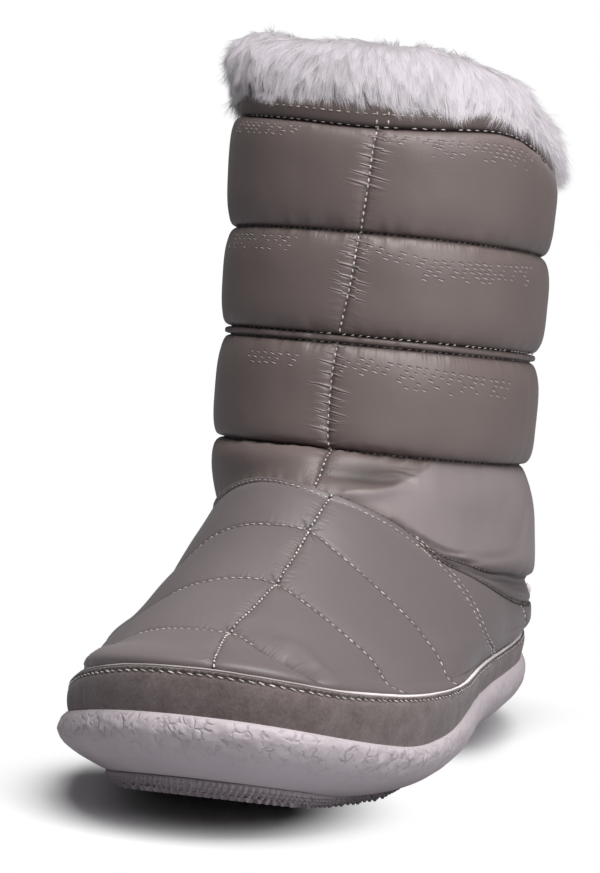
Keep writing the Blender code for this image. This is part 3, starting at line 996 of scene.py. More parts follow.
@dataclass
class Scatter:
    """Copies of a small shape, set out along paths or over a surface by Geometry Nodes."""

    name: str
    shape: Shape
    finish: Finish
    sides: int = 5
    rings: int = 4

    def tree(self) -> bpy.types.NodeTree:
        """Write the tree that puts the shape on every point.

        Returns:
            A tree with a named input for the overall size.
        """
        tree = bpy.data.node_groups.new(self.name, "GeometryNodeTree")
        tree.interface.new_socket("Geometry", in_out="INPUT", socket_type="NodeSocketGeometry")
        tree.interface.new_socket("Size", in_out="INPUT", socket_type="NodeSocketFloat")
        tree.interface.new_socket("Geometry", in_out="OUTPUT", socket_type="NodeSocketGeometry")
        nodes = Nodes(tree)
        source = nodes.add("NodeGroupInput")
        if self.shape is Shape.STITCH:
            small = nodes.add("GeometryNodeMeshUVSphere", inputs={
                "Segments": self.sides, "Rings": self.rings, "Radius": 0.5})
        else:
            small = nodes.add("GeometryNodeMeshCone", inputs={
                "Vertices": 4, "Radius Top": 0.2, "Radius Bottom": 0.62, "Depth": 1.0})
        turn = nodes.add("FunctionNodeAxesToRotation", {"primary_axis": "Z", "secondary_axis": "X"}, {
            0: nodes.stored("facing"), 1: nodes.stored("heading")})
        copies = nodes.add("GeometryNodeInstanceOnPoints", inputs={
            "Points": source.outputs["Geometry"], "Instance": small.outputs["Mesh"], "Rotation": turn,
            "Scale": nodes.scaled(nodes.stored("extent"), source.outputs["Size"])})
        nodes.finish(copies, self.finish.make(), smooth=self.shape is Shape.STITCH)
        return tree

    def build(self, places: np.ndarray, heading: np.ndarray, facing: np.ndarray, extent: np.ndarray,
              seed: int, tones: np.ndarray | None = None) -> bpy.types.Object:
        """Build the copies as one plain mesh.

        Args:
            places: n by 3, in mm.
            heading: n by 3, the way each copy's length runs.
            facing: n by 3, the way its top faces.
            extent: n by 3, its length, width and height in mm.
            seed: fixes the tone of each copy.
            tones: the tone of each copy, if it is chosen.

        Returns:
            The finished object.
        """
        data = bpy.data.meshes.new(self.name)
        data.vertices.add(len(places))
        data.vertices.foreach_set("co", (places * MM).astype(np.float32).ravel())
        piece = link(bpy.data.objects.new(self.name, data))
        paint_vector(piece, "heading", heading)
        paint_vector(piece, "facing", facing)
        paint_vector(piece, "extent", extent)
        chance = np.random.default_rng(seed).uniform(0.0, 1.0, len(places))
        paint(piece, "tone", chance if tones is None else tones)
        modifier = piece.modifiers.new("copies", "NODES")
        modifier.node_group = self.tree()
        sizes = {item.name: item.identifier for item in modifier.node_group.interface.items_tree
                 if item.in_out == "INPUT"}
        modifier[sizes["Size"]] = MM
        return settle(piece)


@dataclass(frozen=True)
class StitchSize:
    """A stitch as it lies on the cloth, in mm."""

    pitch: float = 2.5
    length: float = 1.7
    width: float = 0.5
    height: float = 0.42
    slant: float = 0.0         # degrees across the seam
    gaps: float = 0.0          # share of stitches that have sunk out of sight


class StitchBook:
    """Collects every stitch by thread, and builds one mesh of each."""

    def __init__(self) -> None:
        """Start with nothing sewn."""
        self.rows: dict[Thread, list[tuple[np.ndarray, ...]]] = {thread: [] for thread in Thread}
        self.luck = np.random.default_rng(41)

    def sew(self, thread: Thread, places: np.ndarray, facing: np.ndarray, size: StitchSize) -> None:
        """Sew one row.

        Args:
            thread: which thread.
            places: the row's path in mm, closely spaced.
            facing: the cloth's outward direction along it.
            size: the stitches' size and pitch.
        """
        length = run_along(places)
        count = max(int(length[-1] / size.pitch), 1)
        spots = (np.arange(count) + 0.5) * length[-1] / count
        spots = spots + self.luck.normal(0.0, 0.04 * size.pitch, count)
        spots = spots[self.luck.uniform(0.0, 1.0, count) >= size.gaps]

        def read(values: np.ndarray, shift: float = 0.0) -> np.ndarray:
            """Read vectors along the row at each stitch, or a little before or after it."""
            return np.stack([np.interp(spots + shift, length, values[:, axis]) for axis in range(3)], -1)

        at, out = read(places), unit(read(facing))
        way = unit(read(places, 0.4) - read(places, -0.4))
        aside = unit(np.cross(out, way))
        turn = np.radians(size.slant + self.luck.normal(0.0, 4.0, len(spots)))[:, None]
        way = way * np.cos(turn) + aside * np.sin(turn)
        extent = np.array([size.length, size.width, size.height])
        extent = extent * self.luck.uniform(0.88, 1.1, (len(spots), 1))
        self.rows[thread].append((at + out * size.height * 0.2, way, out, extent))

    def sew_on(self, piece: Any, thread: Thread, level: Any, angle: Any, size: StitchSize,
               lift: Any = 0.0) -> None:
        """Sew one row on a quilted piece.

        Args:
            piece: the piece, which places its cloth at any level and angle.
            thread: which thread.
            level: the row's levels.
            angle: and its angles.
            size: the stitches' size and pitch.
            lift: height over the cloth in mm, one or one at each point.
        """
        level, angle = np.broadcast_arrays(np.asarray(level, float), np.asarray(angle, float))
        out = FORM.outward(level, angle)
        points, *_ = piece.shape(level, angle)
        self.sew(thread, points + out * np.reshape(lift, (-1, 1)), out, size)

    def build(self) -> list[bpy.types.Object]:
        """Build one mesh of stitches for each thread."""
        pieces = []
        for number, (thread, rows) in enumerate(self.rows.items()):
            parts = [np.concatenate([row[place] for row in rows]) for place in range(4)]
            scatter = Scatter(f"stitches_{thread.name.lower()}", Shape.STITCH, thread.value)
            piece = scatter.build(*parts, seed=50 + number)
            pieces.append(dress(piece, thread.value.make()))
        return pieces


@dataclass(frozen=True)
class Seam:
    """A stitched line on the form, and what its thread does to the padding."""

    name: str
    knots: tuple[Knot, ...]
    groove: float = 0.5        # depth of the line itself
    groove_width: float = 0.7
    hold: float = 1.0          # share of the padding that it presses down
    reach: float = 5.0         # distance at which the padding is full again
    pucker: float = 0.0        # height of the small folds that run out from it
    pucker_pitch: float = 3.2
    pucker_reach: float = 8.0
    gather: float = 0.0        # strength of the fine gathers beside it
    sharp: float = 0.0         # length of the sharp folds that cross it
    shade: float = 1.0         # strength of the painted shade along the line
    sewn: tuple[float, float] = (0.0, 1.0)
    thread: Thread = Thread.LIGHT
    size: StitchSize = StitchSize()
    twin: float = 0.0          # with two rows, how far each bows away from the line, in mm


@dataclass(frozen=True)
class Crease:
    """A soft fold in the cloth: a trough where the depth is positive, a ridge where it is negative."""

    knots: tuple[Knot, ...]
    depth: float
    width: float
    shade: float = 0.0


class Laid(NamedTuple):
    """Cloth laid over the form, and what its material reads at each point."""

    points: np.ndarray         # in mm
    painted_shade: np.ndarray        # painted shade: how much darker the cloth is drawn in seams, creases and tucks
    gathers: np.ndarray        # distance along the nearest seam, distance to it, strength of the gathers
    puckers: np.ndarray        # distance along a seam with sharp folds, signed distance to it, their strength


class Relief(NamedTuple):
    """What seams and creases do to cloth, at each point of the form."""

    free: np.ndarray           # share of the padding that is left
    extra: np.ndarray          # height to add in mm
    painted_shade: np.ndarray
    gathers: np.ndarray
    puckers: np.ndarray


class Cloth:
    """Padded cloth over part of the form: seams hold it down, creases fold it, and the rest swells."""

    def __init__(self, seams: Sequence[Seam], creases: Sequence[Crease], padding: float, seed: int) -> None:
        """Draw every seam and crease once.

        Args:
            seams: stitched lines.
            creases: soft folds.
            padding: how far the cloth swells away from seams, in mm.
            seed: fixes what is uneven.
        """
        self.seams = [(seam, thread_through(seam.knots)) for seam in seams]
        self.creases = [(crease, thread_through(crease.knots, 1.0)) for crease in creases]
        self.padding = padding
        self.noise = Unevenness(seed)

    @staticmethod
    def folds(seam: Seam, seed: int, length: float, gap: np.ndarray, along: np.ndarray,
              side: np.ndarray) -> np.ndarray:
        """Small folds that run out from a seam on both sides, each with its own length and slope.

        Args:
            seam: the seam.
            seed: fixes the folds.
            length: the seam's whole length in mm, the same whichever points are asked for.
            gap: distance to the seam in mm.
            along: distance along it in mm.
            side: 1 or -1.

        Returns:
            Height in mm.
        """
        luck = np.random.default_rng(seed)
        height = np.zeros(gap.shape)
        near = gap < seam.pucker_reach * 2.2
        out, place, way = gap[near], along[near], side[near]
        total = np.zeros(out.shape)
        for hand in (-1.0, 1.0):    # the draws stay in this order, or every fold moves
            spot = luck.uniform(0.3, 1.0) * seam.pucker_pitch
            while spot < length:
                reach = seam.pucker_reach * luck.uniform(0.45, 1.5)
                width = seam.pucker_pitch * luck.uniform(0.11, 0.17)
                lean = luck.uniform(-0.22, 0.22)
                u = (place - spot - lean * out - 0.02 * lean * out**2) / width
                shape = np.exp(-u**2) - 0.45 * np.exp(-(u + 1.5) ** 2) - 0.2 * np.exp(-(u - 1.6) ** 2)
                fade = ease(out / 0.9) * np.clip(1.0 - out / reach, 0.0, 1.0) ** 0.8
                total += np.where(way == hand, luck.uniform(0.45, 1.1) * shape * fade, 0.0)
                spot += seam.pucker_pitch * luck.uniform(0.75, 1.3)
        height[near] = seam.pucker * total
        return height

    def relief(self, base: np.ndarray) -> Relief:
        """Work out what the seams and creases do at points of the form, given in mm."""
        puckers = np.zeros(base.shape)
        free = np.ones(base.shape[:-1])
        extra = np.zeros(base.shape[:-1])
        painted_shade = np.zeros(base.shape[:-1])
        gathers = np.zeros(base.shape)
        nearest = np.full(base.shape[:-1], 60.0)
        for number, (seam, path) in enumerate(self.seams):
            line = Nearest(path)
            gap, along, side = line.measure(base)
            free = np.minimum(free, 1.0 - seam.hold * np.exp(-(gap / seam.reach) ** 1.25))
            extra -= seam.groove * np.exp(-(gap / seam.groove_width) ** 2)
            # painted shade along each seam line
            painted_shade = np.maximum(painted_shade, seam.shade * np.exp(-(gap / (seam.groove_width * 1.2)) ** 2))
            if seam.pucker:
                extra += self.folds(seam, 100 + number, line.along[-1], gap, along, side)
            if seam.sharp:
                middle = np.sin(np.pi * np.clip(along / line.along[-1], 0.0, 1.0)) ** 0.7
                spot = np.stack([along - 0.2 * side * gap + SEAM_SHIFT * number, side * gap,
                                 seam.sharp * (0.35 + 0.65 * middle)], -1)
                puckers = np.where((gap < 14.0)[..., None], spot, puckers)
            if seam.gather:
                closer = gap < nearest
                nearest = np.where(closer, gap, nearest)
                spot = np.stack([along + SEAM_SHIFT * number + SIDE_SHIFT * (side > 0.0), gap,
                                 np.full(gap.shape, seam.gather)], -1)
                gathers = np.where(closer[..., None], spot, gathers)
        for crease, path in self.creases:
            line = Nearest(path)
            gap, along, _ = line.measure(base)
            fade = np.sin(np.pi * np.clip(along / line.along[-1], 0.02, 0.98)) ** 0.7
            extra -= crease.depth * fade * np.exp(-(gap / crease.width) ** 2)
            # painted shade along the creases that have a shade
            painted_shade = np.maximum(painted_shade, crease.shade * fade * np.exp(-(gap / crease.width) ** 2))
        return Relief(free, extra, painted_shade, gathers, puckers)


# ---------------------------------------------------------------- the upper

VAMP_EDGE = EdgeLine(
    (-180.0, 6.00), (-140.0, 5.95), (-105.0, 5.75), (-80.0, 5.95), (-62.0, 6.28), (-41.0, 6.30),
    (-28.0, 6.29), (-18.0, 6.24), (-6.0, 6.09), (8.0, 5.95), (24.0, 5.91), (35.0, 5.89), (44.0, 5.79),
    (54.0, 5.69), (66.0, 5.69), (100.0, 5.67), (116.0, 5.80), (140.0, 5.95))
ANKLE_EDGE = EdgeLine(
    (-180.0, 6.30), (-150.0, 6.36), (-107.0, 6.40), (-85.0, 6.36), (-62.0, 6.30), (-41.0, 6.30),
    (-28.0, 6.29), (-18.0, 6.24), (-6.0, 6.09), (8.0, 5.95), (24.0, 5.91), (35.0, 5.89), (44.0, 5.79),
    (54.0, 5.71), (65.0, 5.98), (82.0, 6.27), (107.0, 6.38), (150.0, 6.36))
FOXING_EDGE = EdgeLine(
    (-180.0, 0.96), (-120.0, 0.96), (-84.0, 0.70), (-68.0, 0.48), (-56.0, 0.44), (-46.0, 0.58),
    (-37.0, 0.72), (-13.0, 0.87), (0.0, 0.89), (20.0, 0.84), (35.0, 0.82), (52.0, 0.96), (75.0, 1.14),
    (95.0, 1.02), (115.0, 0.94), (150.0, 0.96))

FINE = StitchSize(pitch=2.05, length=1.5, width=0.74, height=0.60)
RUN = StitchSize(pitch=2.5, length=1.85, width=0.46, height=0.42)
CHAIN = StitchSize(pitch=2.3, length=1.8, width=0.44, height=0.38, slant=12.0)
ROPE = StitchSize(pitch=2.1, length=1.9, width=0.75, height=0.6, slant=22.0)
WORN_ROW = StitchSize(pitch=2.5, length=1.5, width=0.42, height=0.36, slant=16.0, gaps=0.12)
STRIP_ROW = StitchSize(pitch=2.9, length=1.7, width=0.40, height=0.34, gaps=0.06)

UPPER_SEAMS = (
    Seam("vamp_centre", course(
        (5.96, 12.4), (5.5, 10.6), (5.12, 9.3), (4.6, 8.5), (4.0, 7.0), (3.4, 4.6), (2.78, 2.2),
        (2.0, 3.0), (0.95, 3.8)),
        groove=0.30, hold=0.45, reach=3.0, shade=0.5, pucker=0.10, pucker_pitch=2.3, pucker_reach=4.0,
        gather=1.0, size=FINE),
    Seam("quilt_one", course(
        (0.60, -85.0), (1.8, -81.0), (2.8, -74.5), (3.6, -66.0), (4.2, -57.0), (4.66, -40.0),
        (4.94, -30.0), (5.1, -18.0), (5.14, -5.0), (5.13, 9.2), (4.84, 22.0), (4.55, 33.0), (4.15, 45.0),
        (3.7, 54.5), (2.85, 66.5), (1.9, 75.0), (0.95, 79.5)),
        groove=0.4, hold=0.7, reach=6.5, shade=0.6, gather=0.45, size=RUN),
    Seam("quilt_two", course(
        (0.45, -68.0), (1.4, -65.0), (2.4, -59.0), (3.2, -47.0), (3.62, -36.0), (3.86, -25.0),
        (3.98, -14.0), (4.05, -5.0), (4.02, 6.5), (3.64, 21.0), (3.16, 34.0), (2.55, 46.0), (1.5, 55.0),
        (0.95, 58.0)),
        groove=0.5, hold=1.0, reach=6.5, shade=0.75, gather=0.5, size=RUN),
    Seam("quilt_three", course(
        (0.45, -61.0), (1.4, -56.0), (2.2, -44.0), (2.5, -35.0), (2.72, -28.0), (2.8, -19.0),
        (2.81, -10.0), (2.78, 2.2), (2.6, 8.5), (2.36, 16.0), (2.08, 22.5), (1.1, 30.0)),
        groove=0.5, hold=1.0, reach=6.5, shade=0.7, gather=0.5, sewn=(0.09, 0.77), size=RUN),
    Seam("quarter_inner", course(
        (5.86, 42.0), (5.52, 54.5), (5.13, 64.0), (4.45, 74.0), (3.1, 89.0), (1.8, 98.5), (0.95, 101.0)),
        groove=0.15, hold=0.25, reach=2.5, shade=0.15, gather=0.3, size=CHAIN, twin=1.7),
    Seam("quarter_outer", course(
        (6.2, -56.0), (5.7, -64.0), (5.0, -74.0), (4.2, -84.0), (3.0, -96.0), (1.8, -104.0),
        (0.95, -106.0)),
        groove=0.15, hold=0.25, reach=2.5, shade=0.15, gather=0.3, size=CHAIN, twin=1.7),
    Seam("heel_inner", course(
        (5.62, 101.0), (4.9, 108.5), (3.0, 116.0), (0.95, 119.0)),
        groove=0.3, hold=0.4, reach=2.0, shade=0.3, size=FINE),
    Seam("heel_outer", course(
        (5.72, -103.0), (4.9, -109.0), (3.0, -116.0), (0.95, -119.0)),
        groove=0.3, hold=0.4, reach=2.0, shade=0.3, size=FINE),
)
UPPER_CREASES = (
    Crease(course((1.00, -34.0), (1.04, -46.0), (1.10, -62.0), (1.18, -84.0)), 4.2, 4.6),
    Crease(course((1.95, -60.0), (2.35, -72.0), (2.65, -92.0)), -3.4, 9.0),
    Crease(course((1.65, -50.0), (1.75, -30.0), (1.8, -14.0), (1.65, 6.0)), -1.3, 4.0),
    Crease(course((2.6, 8.5), (2.36, 16.0), (2.08, 22.5), (1.55, 27.0), (1.0, 31.0)), 1.4, 2.2),
    Crease(course((2.75, 14.0), (2.45, 23.0), (1.95, 30.0), (1.2, 36.0)), -1.6, 3.0),
    Crease(course((5.80, 68.0), (5.86, 80.0), (5.92, 92.0), (5.95, 108.0)), -0.8, 0.7),
    Crease(course((5.86, 70.0), (6.00, 82.0), (6.08, 94.0), (6.12, 108.0)), -0.8, 0.7),
    Crease(course((5.92, 72.0), (6.12, 84.0), (6.22, 96.0), (6.26, 108.0)), -0.7, 0.7),
)


@dataclass
class Upper:
    """Quilted vamp and quarters, with their lining, over the foot."""

    padding: float = 1.9
    wall: float = 6.0
    columns: int = 420
    rows: int = 206
    lip: float = 1.2           # how far the folded top edge stands up
    lip_tuck: float = 3.0
    band_hold: float = 5.0     # distance from the band at which the padding is full again
    top_hold: float = 3.5      # and from the top edge

    def __post_init__(self) -> None:
        """Draw the seams."""
        self.cloth = Cloth(UPPER_SEAMS, UPPER_CREASES, self.padding, seed=7)

    def shape(self, level: np.ndarray, angle: np.ndarray) -> Laid:
        """Lay the cloth at levels and angles."""
        level, angle = np.broadcast_arrays(level, angle)
        base = FORM.points(level, angle)
        out = FORM.outward(level, angle)
        free, extra, painted_shade, gathers, puckers = self.cloth.relief(base)
        edge = ANKLE_EDGE.at(angle)
        vamp = VAMP_EDGE.at(angle)
        from_top, from_band, wedge = (
            np.linalg.norm(FORM.points(line, angle) - base, axis=-1)
            for line in (np.maximum(edge, level), np.minimum(FOXING_EDGE.at(angle), level), vamp))
        free = free * (1.0 - 0.9 * np.exp(-(from_band / self.band_hold) ** 1.2))
        free = free * (1.0 - 0.8 * np.exp(-(from_top / self.top_hold) ** 2))
        uneven = 1.0 + self.cloth.noise.lumps(base, (0.22, 24.0))
        soft = self.cloth.noise.lumps(base, (0.20, 11.0), (0.05, 4.0)) * free
        rolled = self.lip * np.exp(-(from_top / 1.1) ** 4)
        split = ease((edge - vamp) / 0.08)
        extra = extra - split * 0.9 * np.exp(-(wedge / 0.9) ** 2)
        # painted shade in the wedge where the vamp's edge parts from the ankle band's
        painted_shade = np.maximum(painted_shade, split * np.exp(-(wedge / 1.0) ** 2))
        height = self.padding * free * uneven + extra + soft + rolled
        # painted shade just above the foxing band
        painted_shade = np.clip(painted_shade + 0.5 * np.exp(-(from_band / 1.2) ** 2), 0.0, 1.0)
        return Laid(base + out * height[..., None], painted_shade, gathers, puckers)

    def build_outside(self) -> bpy.types.Object:
        """Build the nylon outside, from under the foxing band to its folded top edge."""
        angle = columns_by_length(
            3.0, self.columns, lambda a: 0.35 + 0.65 * ease((110.0 - np.abs(a - 8.0)) / 50.0))
        front = FORM.points(np.linspace(0.55, 6.3, 400), 0.0)
        run = run_along(front)
        share = np.interp(np.linspace(0.0, run[-1], self.rows), run, np.linspace(0.0, 1.0, 400))
        low, high = FOXING_EDGE.at(angle) - 0.35, ANKLE_EDGE.at(angle)
        level = low + (high - low) * share[:, None]
        grid_angle = np.broadcast_to(angle, level.shape)
        points, painted_shade, gathers, _ = self.shape(level, grid_angle)
        tuck_level = np.stack([high + 0.03, high + 0.10])
        tuck_angle = np.broadcast_to(angle, tuck_level.shape)
        tuck = (FORM.points(tuck_level, tuck_angle)
                + FORM.outward(tuck_level, tuck_angle) * np.array([[0.2], [-self.lip_tuck]])[..., None])
        points = np.concatenate([points, tuck])
        # painted shade on the tuck under the folded top edge
        painted_shade = np.concatenate([painted_shade, np.ones_like(tuck_level)])
        gathers = np.concatenate([gathers, np.zeros((*tuck_level.shape, 3))])
        around = run_along(FORM.points(3.0, np.append(angle, 180.0)))
        piece = lay_grid("upper_quilted", points, around, run_along(points))
        # painted highlights: two soft patches on the vamp, near the toe, are drawn lighter
        toe = np.exp(-(((grid_angle + 18.0) / 26.0) ** 2 + ((level - 3.1) / 1.6) ** 2))
        toe_panel_highlight = np.exp(-(((grid_angle + 34.0) / 24.0) ** 2 + ((level - 1.75) / 0.55) ** 2))
        paint(piece, "painted_highlight", np.concatenate([0.45 * toe + 0.8 * toe_panel_highlight, np.zeros_like(tuck_level)]))
        paint(piece, "painted_shade", painted_shade)
        paint_vector(piece, "gathers", gathers.reshape(-1, 3))
        return piece

    def build_lining(self) -> bpy.types.Object:
        """Build the fleece inside."""
        angle = columns_by_length(3.0, 150)
        level, grid_angle = cross(np.linspace(0.0, 6.1, 44), angle)
        base = FORM.points(level, grid_angle)
        depth = self.wall + Unevenness(23).lumps(base, (0.5, 5.0))
        points = base - FORM.outward(level, grid_angle) * depth[..., None]
        points[0] = FORM.seat_ring(-self.wall, FORM.sole_thickness + GAP, angle)
        return lay_grid("upper_lining", points[:, ::-1])

    def sew(self, book: StitchBook) -> None:
        """Sew the seams of the vamp and quarters, and the row along the top edge."""
        for seam, path in self.cloth.seams:
            first, last = (int(share * (len(path) - 1)) for share in seam.sewn)
            chosen = path[first:last + 1]
            for side in (-1.0, 1.0) if seam.twin else (0.0,):
                level, angle = chosen[:, 0], chosen[:, 1]
                rise = FORM.points(level + 0.1, angle) - FORM.points(level - 0.1, angle)
                bow = np.sin(np.pi * np.linspace(0.02, 0.98, len(level))) ** 0.7
                level = level + side * seam.twin * bow / (np.linalg.norm(rise, axis=-1) / 0.2)
                book.sew_on(self, seam.thread, level, angle, seam.size, 0.5 * seam.groove)
        for start, end, drop, lift, thread, size in ((-118.0, 49.0, 0.07, 0.0, Thread.LIGHT, CHAIN),
                                                     (46.0, 112.0, 0.02, 0.8, Thread.DARK, ROPE)):
            angle = np.linspace(start, end, 500)
            raised = lift * ease((angle - 48.0) / 12.0)
            book.sew_on(self, thread, VAMP_EDGE.at(angle) - drop, angle, size, raised)

    def build(self, book: StitchBook) -> list[bpy.types.Object]:
        """Build and dress the upper, and sew it."""
        outside = dress(self.build_outside(), VAMP_NYLON.make())
        lining = dress(self.build_lining(), FLEECE.make())
        self.sew(book)
        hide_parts("upper")
        return [outside, lining]


# ---------------------------------------------------------------- the shaft


@dataclass(frozen=True)
class Band:
    """A padded band of the shaft, between two levels."""

    name: str
    low: float
    high: float
    swell: float
    rows: int


SHAFT_BANDS = (
    Band("ankle_band", 6.0, 8.0, 3.6, 66),
    Band("third_band", 8.0, 9.0, 4.0, 78),
    Band("pleat", 9.0, 9.075, 1.4, 8),
    Band("second_band", 9.075, 10.0, 3.9, 76),
    Band("top_band", 10.0, 11.0, 3.6, 78),
)
CENTRE = dict(groove=0.45, hold=0.30, reach=2.0, shade=0.55, pucker=0.14, pucker_pitch=3.3, pucker_reach=6.4,
              gather=0.4, sharp=1.0, size=FINE)
SHAFT_SEAMS = (
    Seam("centre_top", course((11.0, 10.0), (10.66, 9.2), (10.33, 8.4), (10.0, 7.0)), **CENTRE),
    Seam("centre_second", course((10.0, 6.6), (9.66, 5.7), (9.3, 4.0), (9.09, 2.6)), **CENTRE),
    Seam("centre_third", course((9.0, 2.2), (8.69, 2.0), (8.36, 2.4), (8.0, 3.8)), **CENTRE),
    Seam("centre_ankle", course(
        (8.0, 4.4), (7.1, 5.8), (6.4, 5.4), (6.05, 5.0)),
        groove=0.5, hold=0.5, reach=3.0, pucker=0.2, pucker_pitch=3.2, pucker_reach=5.0, gather=0.8,
        size=FINE),
    Seam("back_seam", course(
        (11.0, 179.0), (9.0, 179.0), (8.0, 179.0), (6.5, 179.0)),
        groove=0.5, hold=0.34, reach=3.2, pucker=0.30, pucker_pitch=3.2, pucker_reach=7.0, gather=0.8,
        size=FINE),
)
SHAFT_CREASES = (
    Crease(course((6.60, 3.0), (6.70, 12.0), (6.84, 20.0), (7.04, 30.0), (7.25, 40.0)), 3.0, 4.0, 1.0),
    Crease(course((6.02, 12.0), (6.12, 17.0), (6.34, 24.0), (6.76, 31.5), (7.00, 39.0)), -1.5, 2.2),
    Crease(course((7.10, 50.0), (7.20, 62.0), (7.15, 76.0)), -1.0, 7.0),
    Crease(course((5.90, 30.5), (5.93, 33.5), (5.98, 37.0)), 0.9, 0.6, 0.9),
    Crease(course((5.87, 35.0), (5.92, 39.0), (5.96, 43.5)), 1.1, 0.6, 1.0),
    Crease(course((5.84, 39.5), (5.90, 44.0), (5.96, 49.0)), 1.3, 0.65, 1.0),
    Crease(course((5.80, 43.0), (5.91, 49.0), (6.03, 55.0)), 1.4, 0.7, 1.0),
    Crease(course((5.76, 47.5), (5.96, 54.0), (6.18, 60.5)), 1.4, 0.7, 1.0),
    Crease(course((5.74, 52.5), (5.96, 60.0), (6.20, 68.0)), 1.2, 0.8, 0.9),
    Crease(course((6.15, 62.0), (6.35, 72.0), (6.55, 84.0)), 0.6, 1.6),
    Crease(course((6.55, 84.0), (6.90, 89.0), (7.50, 93.0)), 1.5, 3.6),
    Crease(course((6.75, -62.0), (6.75, -40.0), (6.68, -18.0), (6.55, 2.0)), 1.4, 4.0),
)


# Where the painted highlight on the ankle band ends: an angle and a level each.
PAINTED_HIGHLIGHT_LIMIT = ((8.0, 5.85), (17.0, 6.15), (24.0, 6.40), (31.5, 6.84), (38.0, 7.35), (48.0, 8.30))


class CrimpPatch(NamedTuple):
    """A patch of needle marks under a seam: rows of short dashes."""

    level: float
    start: float
    end: float
    rows: int
    slope: float               # levels that the rows drop from start to end


CRIMP_PATCHES = (
    CrimpPatch(10.90, -48.0, -12.0, 4, 0.0),
    CrimpPatch(10.88, 13.0, 36.0, 3, 0.05),
    CrimpPatch(10.83, 34.0, 78.0, 5, 0.02),
    CrimpPatch(9.91, -50.0, -10.0, 4, 0.0),
    CrimpPatch(9.88, 11.0, 34.0, 4, 0.09),
    CrimpPatch(9.79, 34.0, 84.0, 5, -0.06),
    CrimpPatch(8.86, -30.0, -6.0, 3, 0.0),
    CrimpPatch(8.88, 8.0, 28.0, 4, 0.04),
    CrimpPatch(8.84, 28.0, 76.0, 5, 0.05),
)


